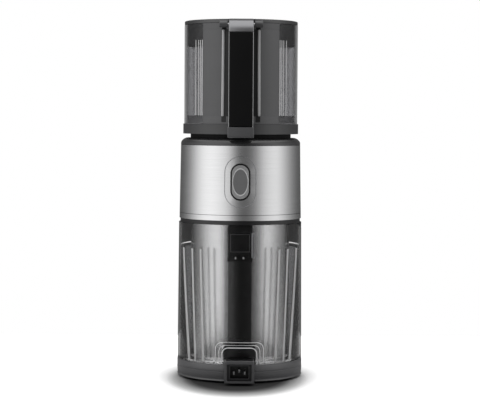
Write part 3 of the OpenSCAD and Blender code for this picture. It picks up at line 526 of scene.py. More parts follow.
SLOT_OF = {row["node"]: row["material_slot"] for row in frame["record"]["subparts"]}


def dress(node_object, slot):
    """Give a CAD node its finish, in every material slot it has."""
    slots = node_object.data.materials
    if not slots:
        slots.append(FINISHES[slot])
    for i in range(len(slots)):
        slots[i] = FINISHES[slot]


CLOSER_FINISH = {
    "spine": "matt_black",
    "hopper_ribs": "clear_plastic",
    "hopper_ring": "ring_grey",
    "drum": "matt_black",
    "column_sleeve": "sleeve_steel_painted_shade",
    "pulp_flap": "matt_black",
}
for name, node_object in nodes.items():
    dress(node_object, SLOT_OF[name])
for name, finish in CLOSER_FINISH.items():
    nodes[name].data.materials[0] = FINISHES[finish]
print(len(FINISHES), "finishes on", len(nodes), "nodes")

# %% [markdown]
# The pieces that show most are modelled again, because a machined edge has no highlight and a
# moulded one does. Nearly all of them start in one of three ways: an outline spun around the tower,
# an outline extruded along an axis, or a plain block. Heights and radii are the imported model's own,
# in millimetres from the table and from the tower's axis.

# %% Turned and extruded forms
REAR = -90  # the bearing of -Y, the side of the handle and the inlet


def lathe(outline, start=0.0, sweep=360.0, steps=144):
    """Spin a closed outline of (radius, height) points around the tower's axis, in degrees."""
    bm = bmesh.new()
    turn = Matrix.Rotation(math.radians(start), 4, "Z")
    row = [bm.verts.new(turn @ Vector((r * MM, 0, z * MM))) for r, z in outline]
    edges = [bm.edges.new((row[i - 1], row[i])) for i in range(len(row))]
    full = sweep == 360.0
    bmesh.ops.spin(
        bm, geom=row + edges, cent=(0, 0, 0), axis=(0, 0, 1), angle=math.radians(sweep),
        steps=max(2, int(steps * sweep / 360)), use_merge=full, use_duplicate=False,
    )
    if not full:
        bmesh.ops.holes_fill(bm, edges=bm.edges[:], sides=0)
    bmesh.ops.recalc_face_normals(bm, faces=bm.faces[:])
    return bm


def prism(outline, low, high, axis="x"):
    """Extrude an outline between two places along an axis; it is given as seen along that axis."""
    place = {
        "x": lambda a, b, c: (c, -a, b),
        "y": lambda a, b, c: (a, c, b),
    }[axis]
    bm = bmesh.new()
    face = bm.faces.new([bm.verts.new(Vector(place(a, b, low)) * MM) for a, b in outline])
    made = bmesh.ops.extrude_face_region(bm, geom=[face])
    moved = [v for v in made["geom"] if isinstance(v, bmesh.types.BMVert)]
    shift = Vector(place(0, 0, high - low)) * MM
    bmesh.ops.translate(bm, verts=moved, vec=shift)
    bmesh.ops.holes_fill(bm, edges=bm.edges[:], sides=0)
    bmesh.ops.recalc_face_normals(bm, faces=bm.faces[:])
    return bm


def block(low, high):
    """A plain block between two corners."""
    bm = bmesh.new()
    size = (Vector(high) - Vector(low)) * MM
    middle = (Vector(high) + Vector(low)) / 2 * MM
    place = Matrix.Translation(middle) @ Matrix.Diagonal((*size, 1))
    bmesh.ops.create_cube(bm, size=1.0, matrix=place)
    return bm


# %% [markdown]
# What a spin makes is whole all the way round. Planes then slice it: cut() drops all that lies past
# one plane, and punch() drops only what lies inside several, such as a notch. A boolean modifier
# could do it too, but it is slower and often leaves slivers on thin walls. Each opening is closed
# with one face, which is bent on a notch through a rim and can span its mouth. It does so on the
# base ring, inside the inlet's housing.


# %% Slicing
def cut(bm, point, normal):
    """Slice a solid and close it, dropping the side that the normal points to."""
    geom = bm.verts[:] + bm.edges[:] + bm.faces[:]
    bmesh.ops.bisect_plane(
        bm, geom=geom, plane_co=Vector(point) * MM, plane_no=normal, clear_outer=True
    )
    bmesh.ops.holes_fill(bm, edges=[e for e in bm.edges if e.is_boundary], sides=0)
    bmesh.ops.recalc_face_normals(bm, faces=bm.faces[:])


def punch(bm, planes):
    """Drop the part of a thin wall that lies inside every (point, outward normal) plane."""
    for point, normal in planes:
        geom = bm.verts[:] + bm.edges[:] + bm.faces[:]
        bmesh.ops.bisect_plane(bm, geom=geom, plane_co=Vector(point) * MM, plane_no=normal)
    inside = [
        f for f in bm.faces
        if all((f.calc_center_median() - Vector(p) * MM).dot(Vector(n)) < 0 for p, n in planes)
    ]
    bmesh.ops.delete(bm, geom=inside, context="FACES")
    bmesh.ops.holes_fill(bm, edges=[e for e in bm.edges if e.is_boundary], sides=0)
    bmesh.ops.recalc_face_normals(bm, faces=bm.faces[:])


def rear_notch(half, inmost_y):
    """The planes that punch() takes for a notch in the rear, from its half width and its depth."""
    return [((-half, 0, 0), (-1, 0, 0)), ((half, 0, 0), (1, 0, 0)), ((0, inmost_y, 0), (0, 1, 0))]


# %% [markdown]
# Rounding is a bevel of the sharp edges alone, found by the angle between their faces, so that the
# facets of a turned form stay as they are. A finished piece then gets its finish, the body that it
# rides on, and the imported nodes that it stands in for.


# %% Rounding and finishing a piece
def rounded(bm, radius, segments=3, sharper=28.0, choose=None):
    """Round the edges that are sharper than an angle and, where choose is given, whose middle it
    accepts.
    """
    edges = [
        e for e in bm.edges
        if len(e.link_faces) == 2 and math.degrees(e.calc_face_angle(0)) > sharper
        and (choose is None or choose((e.verts[0].co + e.verts[1].co) / 2 / MM))
    ]
    bmesh.ops.bevel(
        bm, geom=edges, offset=radius * MM, offset_type="OFFSET", segments=segments,
        profile=0.5, affect="EDGES", clamp_overlap=True, material=-1,
    )
    return bm


def add(bm, other):
    """Move another mesh's geometry into this one."""
    spare = bpy.data.meshes.new("spare")
    other.to_mesh(spare)
    other.free()
    bm.from_mesh(spare)
    bpy.data.meshes.remove(spare)


MERGE_DISTANCE = 0.00001
CRISP_EDGE = math.radians(35)


def piece(name, bm, slot, body, replaces=(), finish=None):
    """Make a finished object: smooth faces with crisp edges, a finish, a body to ride on."""
    bmesh.ops.remove_doubles(bm, verts=bm.verts[:], dist=MERGE_DISTANCE)
    for face in bm.faces:
        face.smooth = True
    for edge in bm.edges:
        edge.smooth = len(edge.link_faces) == 2 and edge.calc_face_angle(0) < CRISP_EDGE
    mesh = bpy.data.meshes.new(name)
    bm.to_mesh(mesh)
    bm.free()
    mesh.materials.append(FINISHES[finish or slot])
    made = bpy.data.objects.new(name, mesh)
    bpy.context.scene.collection.objects.link(made)
    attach(made, body)
    if replaces:
        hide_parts(*replaces)
    print(name, len(mesh.polygons), "faces")


# %% [markdown]
# A round corner of an outline is a short arc of points. A bead along a wall is a chain of short
# rods that overlap a little, because a bevelled curve would have to be turned into a mesh first.


# %% Arcs and beads
def arc(cx, cy, r, first, last, count=6):
    """Points of an arc, angles in degrees."""
    return [
        (cx + r * math.cos(math.radians(a)), cy + r * math.sin(math.radians(a)))
        for a in [first + (last - first) * i / count for i in range(count + 1)]
    ]


def rail(points, radius, closed=False, sides=8):
    """A round bead along a line of points."""
    bm = bmesh.new()
    overlap = radius * 0.6
    ends = points[1:] + points[:1] if closed else points[1:]
    for first, second in zip(points, ends):
        a, b = Vector(first) * MM, Vector(second) * MM
        along = b - a
        place = Matrix.Translation((a + b) / 2) @ along.to_track_quat("Z", "Y").to_matrix().to_4x4()
        bmesh.ops.create_cone(
            bm, cap_ends=True, segments=sides, radius1=radius * MM, radius2=radius * MM,
            depth=along.length + overlap * MM, matrix=place,
        )
    return bm


# %% [markdown]
# The hopper is a smoked tube whose packed wall stays as it is. At its top and foot a band closes
# the view into it, and a black throat narrows the mouth under the lid. Each is a thin ring turned
# just inside the wall. Colouring the wall by height would be less work, but such a band would have
# no thickness when it is seen from above.

# %% Hopper bands and throat
HOPPER_R = 75.0
SHELL_IN = 72.4
SHELL_FOOT = 335.5
HOPPER_TOP = 465.0
BAND_OUT = SHELL_IN - 0.15
BAND_IN = SHELL_IN - 1.6
BAND_FOOT = 437.5
BAND_TOP = HOPPER_TOP - 0.2
LOW_BAND_FOOT = SHELL_FOOT + 0.7
LOW_BAND_TOP = 346
THROAT_IN = 58.6
THROAT_WALL = 1.7
THROAT_FOOT = 445
THROAT_LIP = (HOPPER_TOP - 2, HOPPER_TOP - 0.4)

band = lathe([
    (BAND_OUT, BAND_FOOT), (BAND_OUT, BAND_TOP), (BAND_IN, BAND_TOP), (BAND_IN, BAND_FOOT + 1.5),
    (BAND_IN + 0.6, BAND_FOOT),
])
piece("hopper_band", band, "dark_plastic", "hopper")
low_band = lathe([
    (BAND_OUT, LOW_BAND_FOOT), (BAND_OUT, LOW_BAND_TOP - 0.5), (BAND_OUT - 0.55, LOW_BAND_TOP),
    (BAND_IN, LOW_BAND_TOP), (BAND_IN, LOW_BAND_FOOT),
])
piece("hopper_low_band", low_band, "grey_plastic", "hopper", finish="low_grey")
throat_out = THROAT_IN + THROAT_WALL
lip_out = SHELL_IN - 1.7
throat = lathe([
    (throat_out, THROAT_FOOT), (throat_out, THROAT_LIP[0]), (lip_out, THROAT_LIP[0]),
    (lip_out, THROAT_LIP[1]), (THROAT_IN, THROAT_LIP[1]), (THROAT_IN, THROAT_FOOT),
])
piece("hopper_throat", throat, "black_plastic", "hopper")

# %% [markdown]
# The rear panel is a curved plate that clips over the hopper and carries the handle. A recess runs
# down its middle, a little wider at its foot, to leave room for fingers behind the grip. The plate
# is spun as a few stretches of ring, and the two beside the recess are sliced by a leaning plane.

# %% Rear panel
PANEL_OUT = 75.8
PANEL_IN = 73.8
PANEL_TOP = 465.45
PANEL_HALF_ANGLE = 40.7
PANEL_ROUND_TOP = 460
PANEL_ROUND_DEPTH = 1.2
CHANNEL_FOOT = 345.5
CHANNEL_TOP = 457
CHANNEL_FOOT_HALF = 22.8
CHANNEL_TOP_HALF = 22.2
CHANNEL_FLOOR = ((-25, -73.4, 338), (25, -72.6, 462))


def panel_wall(foot, top):
    """A stretch of the rear panel's curved wall."""
    outline = [(PANEL_IN, foot), (PANEL_OUT, foot), (PANEL_OUT, top), (PANEL_IN, top)]
    return lathe(outline, REAR - PANEL_HALF_ANGLE, 2 * PANEL_HALF_ANGLE, 360)


def on_panel_face(point):
    """Whether an edge lies on the panel's outer face, below its top rim."""
    off_axis = math.hypot(point.x, point.y)
    return point.z < PANEL_ROUND_TOP and off_axis > PANEL_OUT - PANEL_ROUND_DEPTH


panel = bmesh.new()
lean = (CHANNEL_FOOT_HALF - CHANNEL_TOP_HALF) / (CHANNEL_TOP - CHANNEL_FOOT)
for side in (-1, 1):
    wall = panel_wall(CHANNEL_FOOT, CHANNEL_TOP)
    foot_corner = (side * CHANNEL_FOOT_HALF, -HOPPER_R, CHANNEL_FOOT)
    cut(wall, foot_corner, Vector((-side, 0, -lean)).normalized())
    add(panel, wall)
add(panel, panel_wall(SHELL_FOOT, CHANNEL_FOOT))
add(panel, panel_wall(CHANNEL_TOP, PANEL_TOP))
rounded(panel, 0.7, 2, 50, on_panel_face)
piece("rear_panel_skin", panel, "grey_plastic", "hopper", ("rear_panel",))
# the recess floor is black: partly its own dark plastic, partly painted shade from the grip in front
# of it
channel = rounded(block(*CHANNEL_FLOOR), 0.2, 2)
piece("channel_floor_black_and_painted_shade", channel, "black_plastic", "hopper")

# %% Rim of the recess
RIM_FACE = 76.1
RIM_BACK = 72.3
RIM_INWARD = 0.9
RIM_OUTWARD = 2.4

# pale strips: a painted highlight on the recess's rounded edges
rim = bmesh.new()
middle_height = (CHANNEL_FOOT + CHANNEL_TOP) / 2 * MM
for side in (-1, 1):
    inner = side * (CHANNEL_FOOT_HALF - RIM_INWARD)
    outer = side * (CHANNEL_FOOT_HALF + RIM_OUTWARD)
    low = (min(inner, outer), -RIM_FACE, CHANNEL_FOOT + 0.1)
    high = (max(inner, outer), -RIM_BACK, CHANNEL_TOP - 0.4)
    strip = block(low, high)
    top = [v for v in strip.verts if v.co.z > middle_height]
    narrower = -side * (CHANNEL_FOOT_HALF - CHANNEL_TOP_HALF) * MM
    bmesh.ops.translate(strip, verts=top, vec=(narrower, 0, 0))
    add(rim, strip)
rounded(rim, 1.1, 4)
piece("channel_rim", rim, "satin_trim", "hopper", finish="pale_edge_painted_highlight")
print("panel recess half width:", CHANNEL_TOP_HALF, "to", CHANNEL_FOOT_HALF)

# %% [markdown]
# Beside the panel the smoked wall carries fine upright flutes, which catch the light as thin pale
# lines. They are too narrow for a bevel to show, so each is only a sliver of ring on the wall,
# coloured pale as a painted highlight. A bump map would vanish at the wall's edge, which is just
# where the flutes are seen.

# %% Flutes beside the panel
FLUTE_BEARINGS = (41.9, 44.5, 47.2, 51.4)
FLUTE_IN = 74.9
FLUTE_OUT = 75.35
FLUTE_FOOT = 346.5
FLUTE_TOP = 444
FLUTE_SWEEP = 0.7

# pale slivers: a painted highlight along each flute
flutes = bmesh.new()
flute_outline = [
    (FLUTE_IN, FLUTE_FOOT), (FLUTE_OUT, FLUTE_FOOT), (FLUTE_OUT, FLUTE_TOP), (FLUTE_IN, FLUTE_TOP),
]
for bearing in FLUTE_BEARINGS:
    for side in (-1, 1):
        start = REAR + side * bearing - FLUTE_SWEEP / 2
        add(flutes, lathe(flute_outline, start, FLUTE_SWEEP, 1440))
piece("hopper_flutes", flutes, "smoked_clear", "hopper", finish="flute_painted_highlight")

# %% [markdown]
# The lid is a shallow disc with a soft rim. A notch at its rear clears the handle's cap, and on
# both sides of it a knuckle turns on the hinge pin. The disc is turned, and punch() takes the notch
# out, so the rim keeps its shape right up to it. The knuckles are bored for the pin, since a solid
# knuckle would cut through it.

# %% Lid
LID_FOOT = 465.6
LID_TOP = 471.3
LID_NOTCH_HALF = 16.15
LID_NOTCH_Y = -61
# an outline that reached the axis itself would leave faces of no width there
NEAR_AXIS = 0.001

lid_body = lathe([
    (NEAR_AXIS, LID_FOOT), (74.6, LID_FOOT), (74.8, LID_FOOT + 0.3), (74.8, 469.0), (74.3, 470.0),
    (72.5, 470.5), (69, 470.8), (60, LID_TOP), (NEAR_AXIS, LID_TOP),
])
punch(lid_body, rear_notch(LID_NOTCH_HALF, LID_NOTCH_Y))
piece("lid_disc", lid_body, "dark_plastic", "lid", ("lid",), "deep_gloss")

# %% Lid knuckles
HINGE_Y = -80
HINGE_Z = 463
KNUCKLE_NEAR = 17.3
KNUCKLE_FAR = 28.2
KNUCKLE_R = 4
KNUCKLE_BORE_R = 1.9
KNUCKLE_EDGE = 0.5

lie_along_x = Matrix.Rotation(math.pi / 2, 4, "Y")
hinge_axis = Matrix.Translation(Vector((0, HINGE_Y, HINGE_Z)) * MM) @ lie_along_x
knuckles = bmesh.new()
for side in (-1, 1):
    x0, x1 = sorted((side * KNUCKLE_NEAR, side * KNUCKLE_FAR))
    barrel = lathe([
        (KNUCKLE_BORE_R, x0), (KNUCKLE_R - KNUCKLE_EDGE, x0), (KNUCKLE_R, x0 + KNUCKLE_EDGE),
        (KNUCKLE_R, x1 - KNUCKLE_EDGE), (KNUCKLE_R - KNUCKLE_EDGE, x1), (KNUCKLE_BORE_R, x1),
    ], steps=48)
    bmesh.ops.transform(barrel, matrix=hinge_axis, verts=barrel.verts)
    add(knuckles, barrel)
    tail = prism([
        (79.5, 466.9), (77.6, 466.1), (76.2, LID_FOOT), (64, LID_FOOT), (64, 470.6),
    ], x0, x1)
    add(knuckles, rounded(tail, KNUCKLE_EDGE, 2))
piece("lid_knuckles", knuckles, "grey_plastic", "lid")

# %% [markdown]
# The handle is a frame with a finger gap, a foot that swells outwards, a soft black grip and a
# rounded cap. All of them keep one outline over their whole width, so each is drawn from the side
# and extruded across. The bevel then takes the moulded edge, wider on the foot than on the frame.

# %% Handle frame
HANDLE_HALF = 15.75
FRAME_SKIN = 0.75
FRAME_BACK = 76.8
FRAME_FACE = 102
GRIP_TOP = 452.0
GRIP_FOOT = 332.3
GAP_TOP = 444
GAP_FOOT = 340.3
GAP_FACE = 97
FOOT_LOW = 318.3
FOOT_HALF = 16.8
FOOT_FACE = 115
FOOT_CORNER = 4

frame_bar = prism([
    (FRAME_BACK, FOOT_LOW), (FRAME_FACE - 2, FOOT_LOW), (FRAME_FACE - 2, GRIP_FOOT),
    (FRAME_FACE, GRIP_FOOT), (FRAME_FACE, GRIP_TOP), (FRAME_BACK, GRIP_TOP), (FRAME_BACK, GAP_TOP),
    (GAP_FACE - 4, GAP_TOP), (GAP_FACE - 1, GAP_TOP - 1.4), (GAP_FACE, GAP_TOP - 4.4),
    (GAP_FACE, GAP_FOOT + 4.4), (GAP_FACE - 1, GAP_FOOT + 1.4), (GAP_FACE - 4, GAP_FOOT),
    (FRAME_BACK, GAP_FOOT),
], -HANDLE_HALF, HANDLE_HALF)
rounded(frame_bar, 0.9, 3, 40)
foot_outline = [(FRAME_FACE - 3, FOOT_LOW), (FOOT_FACE - 5, FOOT_LOW)]
foot_outline += arc(FOOT_FACE - FOOT_CORNER, FOOT_LOW + FOOT_CORNER, FOOT_CORNER, -80, 0, 5)
foot_outline += [(FOOT_FACE, GRIP_FOOT - 0.3), (FRAME_FACE - 3, GRIP_FOOT - 0.3)]
foot = prism(foot_outline, -FOOT_HALF, FOOT_HALF)
add(frame_bar, rounded(foot, 1.2, 4, 40))
piece("handle_shell", frame_bar, "grey_plastic", "hopper", ("handle_frame",))

# %% Grip and its pale edges
GRIP_FACE = 115.4

edge_strips = bmesh.new()
for side in (-1, 1):
    x0, x1 = sorted((side * HANDLE_HALF, side * (HANDLE_HALF - FRAME_SKIN)))
    low = (x0, -GRIP_FACE + 0.5, GRIP_FOOT - 0.5)
    high = (x1, -FRAME_FACE + 0.5, GRIP_TOP)
    add(edge_strips, rounded(block(low, high), 0.3, 3))
piece("handle_edges", edge_strips, "grey_plastic", "hopper", finish="light_trim")

grip_half = HANDLE_HALF - FRAME_SKIN - 0.05
grip = block(
    (-grip_half, -GRIP_FACE, GRIP_FOOT + 0.2), (grip_half, -FRAME_FACE - 0.1, GRIP_TOP - 0.2)
)
rounded(grip, 1.6, 5, 40, lambda point: point.y < -110)
piece("handle_insert", grip, "black_plastic", "hopper", ("handle_grip",), "matt_black")

# %% Handle cap
CAP_FOOT = GRIP_TOP + 0.1
CAP_REACH = 13
CAP_RISE = 15.3

cap_outline = [(77.3, CAP_FOOT)]
for across, up in arc(0, 0, 1, 0, 84, 18):
    cap_outline.append((FRAME_FACE + CAP_REACH * across, CAP_FOOT + CAP_RISE * up))
cap_outline += [(95, 468.2), (88, 469.2), (80, 470.4), (64.6, 471.1), (64.6, 466.4), (76.7, 466.4)]
cap = rounded(prism(cap_outline, -HANDLE_HALF, HANDLE_HALF), 0.9, 3, 25)
piece("handle_cap_skin", cap, "satin_trim", "hopper", ("handle_cap",))

# %% [markdown]
# The head is a brushed steel drum, and its collar is a ring whose shoulder falls softly towards the
# middle. A bevel on a plain ring would give that shoulder one radius. It is drawn as a row of
# points instead, closer together where it turns most, and spun.

# %% Collar
HEAD_TOP_R = 79.2
COLLAR_IN = 67.0
COLLAR_FOOT = 307.6
COLLAR_TOP = 317.0

collar = lathe([
    (COLLAR_IN, COLLAR_FOOT), (HEAD_TOP_R - 0.6, COLLAR_FOOT), (HEAD_TOP_R, COLLAR_FOOT + 0.4),
    (HEAD_TOP_R, 309.9), (78.9, 311.2), (78.0, 312.9), (76.4, 314.6), (74.4, 316.0), (72.4, 316.8),
    (70.6, COLLAR_TOP), (COLLAR_IN, COLLAR_TOP),
])
piece("collar_skin", collar, "satin_trim", "base", ("collar_ring",), "deep_gloss")

# %% [markdown]
# The switch, the pulp outlet and the mains inlet are all rims round an opening. Cutting one prism
# out of another leaves inner edges that can't be rounded well, so one helper bridges a row of
# outlines, each at its own depth, into a closed ring. The chamfers are simply more outlines.

# %% Rims between outlines
SWITCH_Z = 261.0


def stadium(width, height, steps=14):
    """A tall outline with round ends, centred on the switch."""
    r = width / 2
    top = arc(0, SWITCH_Z + height / 2 - r, r, 0, 180, steps)
    return top + arc(0, SWITCH_Z - height / 2 + r, r, 180, 360, steps)


def soft_box(half, low, high, r_low, r_high, steps=6):
    """A rectangle with rounded corners, seen along Y."""
    points = arc(half - r_high, high - r_high, r_high, 0, 90, steps)
    points += arc(-half + r_high, high - r_high, r_high, 90, 180, steps)
    points += arc(-half + r_low, low + r_low, r_low, 180, 270, steps)
    return points + arc(half - r_low, low + r_low, r_low, 270, 360, steps)


def skin(rows):
    """A closed rim through outlines of as many points each, every one at its own depth along Y."""
    bm = bmesh.new()
    loops = []
    for points, y in rows:
        row = [bm.verts.new(Vector((x, y, z)) * MM) for x, z in points]
        loops.append([bm.edges.new((row[i - 1], row[i])) for i in range(len(row))])
    for i in range(len(loops)):
        bmesh.ops.bridge_loops(bm, edges=loops[i - 1] + loops[i])
    bmesh.ops.recalc_face_normals(bm, faces=bm.faces[:])
    return bm


def frame_loop(outer, inner, face, back):
    """A square-edged rim between two outlines."""
    return skin([(outer, back), (outer, face), (inner, face), (inner, back)])


def wrapped(points, radius):
    """Lay points of (x, z) on the rear of a cylinder round the tower's axis."""
    return [(x, -math.sqrt(radius**2 - x * x), z) for x, z in points]


# %% [markdown]
# The rocker is a pill that stands a millimetre out of its black rim. Its finger dish is a bead in
# the shape of an oval round a flattened sphere, which shades as a shallow hollow does; the bead is
# pale, a painted highlight on the dish's edge. A hair line on the head's steel, bent to its curve,
# marks the edge of the switch's plate.

# %% Switch rim and rocker
HEAD_R = 80.8
SWITCH_BACK = -HEAD_R + 5
BEZEL_FACE = -HEAD_R - 0.5
ROCKER_FACE = -HEAD_R - 1.0
BEZEL_WIDTH, BEZEL_HEIGHT = 25.6, 47.6
BEZEL_WALL = 1.2
ROCKER_WIDTH, ROCKER_HEIGHT = 22, 44

bezel_inside = stadium(BEZEL_WIDTH - 2 * BEZEL_WALL, BEZEL_HEIGHT - 2 * BEZEL_WALL)
bezel = frame_loop(stadium(BEZEL_WIDTH, BEZEL_HEIGHT), bezel_inside, BEZEL_FACE, SWITCH_BACK)
rounded(bezel, 0.35, 2, 50)
piece("switch_rim", bezel, "black_plastic", "base", ("switch_bezel",))

rocker = prism(stadium(ROCKER_WIDTH, ROCKER_HEIGHT), ROCKER_FACE, SWITCH_BACK, "y")
rounded(rocker, 0.8, 4, 40, lambda point: point.y < -HEAD_R)
piece("rocker_body", rocker, "satin_trim", "switch", ("rocker",), "rocker_grey")

# %% Finger dish and the line round the switch
FINGER_R = 10
FINGER_BEAD_R = 0.5
FINGER_STRETCH = 1.72
DISH_SIZE = Vector((9.7, 0.6, 17.1))
OUTLINE_WIDTH, OUTLINE_HEIGHT = 41.0, 66.0
OUTLINE_BEAD_R = 0.22

# a pale bead: a painted highlight round the finger dish
finger = lathe(arc(FINGER_R, 0, FINGER_BEAD_R, 0, 330, 11), steps=96)
upright = Matrix.Rotation(math.pi / 2, 4, "X") @ Matrix.Diagonal((1, FINGER_STRETCH, 1, 1))
finger_place = Matrix.Translation(Vector((0, ROCKER_FACE, SWITCH_Z)) * MM) @ upright
bmesh.ops.transform(finger, matrix=finger_place, verts=finger.verts)
piece("finger_rim", finger, "satin_trim", "switch", finish="pale_edge_painted_highlight")

dish = bmesh.new()
dish_centre = Vector((0, ROCKER_FACE + 0.2, SWITCH_Z)) * MM
dome = Matrix.Translation(dish_centre) @ Matrix.Diagonal((*(DISH_SIZE * MM), 1))
bmesh.ops.create_uvsphere(dish, u_segments=48, v_segments=24, radius=1.0, matrix=dome)
piece("finger_dish", dish, "satin_trim", "switch", finish="dish_grey")

halo = wrapped(stadium(OUTLINE_WIDTH, OUTLINE_HEIGHT), HEAD_R + 0.05)
piece("switch_outline", rail(halo, OUTLINE_BEAD_R, True), "satin_trim", "base")
print("switch centred at", SWITCH_Z, "mm")

# %% [markdown]
# Below the head hangs the pulp outlet with its flap, and the spine runs from it down the column to
# the inlet cover. The outlet is a square tube with a real mouth, since the flap swings through it.
# A narrow rim frames the mouth, a guide stands beside it, and two small bright pips sit at its foot.

# %% Pulp outlet
OUTLET_FACE = -75.2
OUTLET_BACK = -63.4
OUTLET_HALF = 15
OUTLET_LOW = 161.5
OUTLET_HIGH = 205.3
OUTLET_CHAMFER = 0.4
MOUTH_HALF = 12.1
MOUTH_LOW = 171.1
MOUTH_HIGH = 194.9

outlet_box = soft_box(OUTLET_HALF, OUTLET_LOW, OUTLET_HIGH, 1, 1)
outlet_front = soft_box(
    OUTLET_HALF - OUTLET_CHAMFER, OUTLET_LOW + OUTLET_CHAMFER, OUTLET_HIGH - OUTLET_CHAMFER,
    0.8, 0.8,
)
mouth_box = soft_box(MOUTH_HALF, MOUTH_LOW, MOUTH_HIGH, 0.5, 0.5)
outlet = skin([
    (outlet_box, OUTLET_BACK), (outlet_box, OUTLET_FACE + 0.5), (outlet_front, OUTLET_FACE),
    (mouth_box, OUTLET_FACE), (mouth_box, OUTLET_BACK),
])
piece("outlet_shell", outlet, "black_plastic", "base", ("pulp_outlet",), "matt_black")

# %% Rim, guide and pips of the outlet
MOUTH_RIM_HALF = 12.6
MOUTH_RIM_LOW = 170.2
MOUTH_RIM_HIGH = 193.8
MOUTH_RIM_BAR = 0.8
MOUTH_RIM_FACE = -76.0
MOUTH_RIM_BACK = -75.0
OUTLET_GUIDE = ((14.6, -75.6, 163), (18.6, -70, 195))
PIP_X = (-5.6, 4.6)
PIP_LOW = 161.0
PIP_FACE = -76.2
PIP_BACK = -75.1

mouth = bmesh.new()
side_low = MOUTH_RIM_LOW + MOUTH_RIM_BAR / 2
side_high = MOUTH_RIM_HIGH - MOUTH_RIM_BAR / 2
for x0, x1, z0, z1 in (
    (-MOUTH_RIM_HALF, -MOUTH_RIM_HALF + MOUTH_RIM_BAR, side_low, side_high),
    (MOUTH_RIM_HALF - MOUTH_RIM_BAR, MOUTH_RIM_HALF, side_low, side_high),
    (-MOUTH_RIM_HALF, MOUTH_RIM_HALF, MOUTH_RIM_HIGH - MOUTH_RIM_BAR, MOUTH_RIM_HIGH),
    (-MOUTH_RIM_HALF, MOUTH_RIM_HALF, MOUTH_RIM_LOW, MOUTH_RIM_LOW + MOUTH_RIM_BAR),
):
    bar = block((x0, MOUTH_RIM_FACE, z0), (x1, MOUTH_RIM_BACK, z1))
    add(mouth, rounded(bar, 0.25, 2))
piece("outlet_rim", mouth, "dark_plastic", "base", finish="grey_plastic")
guide = rounded(block(*OUTLET_GUIDE), 0.6, 3)
piece("outlet_guide", guide, "satin_trim", "base")
pips = bmesh.new()
for x in PIP_X:
    tip = prism([
        (x - 1.0, PIP_LOW + 1.6), (x - 0.7, PIP_LOW), (x + 0.7, PIP_LOW),
        (x + 1.0, PIP_LOW + 1.6), (x + 0.6, PIP_LOW + 3.4), (x - 0.6, PIP_LOW + 3.4),
    ], PIP_FACE, PIP_BACK, "y")
    add(pips, rounded(tip, 0.3, 3, 30))
piece("outlet_drops", pips, "bearing_metal", "base")

# %% [markdown]
# The base ring is moulded in one piece, so all its detail lies in one outline: a lip at the table,
# a shallow hollow above it, a groove half way up and a rolled rim. The inlet's housing stands in a
# notch at the rear, which punch() takes out of the turned ring.

# %% Base ring
BASE_R = 83.0
BASE_WALL_IN = 80.5
BASE_FOOT = 3.05
BASE_TOP = 24.5
DECK_FOOT = 22
DECK_IN = 30
BASE_NOTCH_HALF = 19.5
BASE_NOTCH_Y = -75.2

lip = [(BASE_WALL_IN, BASE_FOOT), (BASE_R - 0.2, BASE_FOOT), (BASE_R, 3.2), (BASE_R, 3.5)]
hollow = [(82.35, 4.5), (82.35, 5.4), (82.6, 7.0), (82.85, 9.0), (BASE_R, 12.0)]
groove = [(BASE_R, 14.9), (82.55, 15.3), (82.55, 15.9), (BASE_R, 16.3)]
rolled_rim = [(BASE_R, 23.6), (82.7, 24.3), (82.0, BASE_TOP)]
deck = [(DECK_IN, BASE_TOP), (DECK_IN, DECK_FOOT), (BASE_WALL_IN, DECK_FOOT)]
base_wall = lathe(lip + hollow + groove + rolled_rim + deck)
punch(base_wall, rear_notch(BASE_NOTCH_HALF, BASE_NOTCH_Y))
piece("base_wall", base_wall, "grey_plastic", "base", ("base_ring",), "base_grey")

# %% Inlet housing
INLET_HALF = 19.3
INLET_LOW = 3.2
INLET_HIGH = 32.8
INLET_FACE = -103.0
INLET_BACK = -75.3
OPENING_HALF = 15.9
OPENING_LOW = 6.1
OPENING_HIGH = 28.0
OPENING_CHAMFER = 0.4
HOUSING_TOP_SHEET = ((-17.6, -101.9, 32.7), (17.6, INLET_BACK - 0.1, 33.0))


def housing_outline(inset, r_low, r_high):
    """The housing's outline, drawn in by an amount."""
    return soft_box(INLET_HALF - inset, INLET_LOW + inset, INLET_HIGH - inset, r_low, r_high)


opening_box = soft_box(OPENING_HALF, OPENING_LOW, OPENING_HIGH, 0.8, 1.6)
opening_front = soft_box(
    OPENING_HALF + OPENING_CHAMFER, OPENING_LOW - OPENING_CHAMFER, OPENING_HIGH + OPENING_CHAMFER,
    1.0, 1.8,
)
housing = skin([
    (housing_outline(0, 1.2, 4.5), INLET_BACK),
    (housing_outline(0, 1.2, 4.5), INLET_FACE + 0.6),
    (housing_outline(0.3, 1.1, 4.4), INLET_FACE + 0.15),
    (housing_outline(0.7, 1.0, 4.2), INLET_FACE),
    (opening_front, INLET_FACE),
    (opening_box, INLET_FACE + 0.4),
    (opening_box, INLET_BACK),
])
piece("inlet_housing_skin", housing, "grey_plastic", "base", ("inlet_housing",))
# a thin black sheet on the housing's top: partly the base's dark recess, partly painted shade under
# the pulp container's arch
cover = rounded(block(*HOUSING_TOP_SHEET), 0.12, 2)
piece("housing_top_dark_and_shade", cover, "black_plastic", "base", finish="matt_black")

# %% Socket rim and pins
SOCKET_HALF = 12.8
SOCKET_LOW = 9.1
SOCKET_HIGH = 26.9
SOCKET_WALL = 0.8
CONTACTS = ((-7, 16.5), (0, 19.5), (7, 16.5))
CONTACT_HALF_WIDTH = 1.1
CONTACT_HALF_HEIGHT = 2.1
CONTACT_FACE = -101.2
CONTACT_BACK = -97

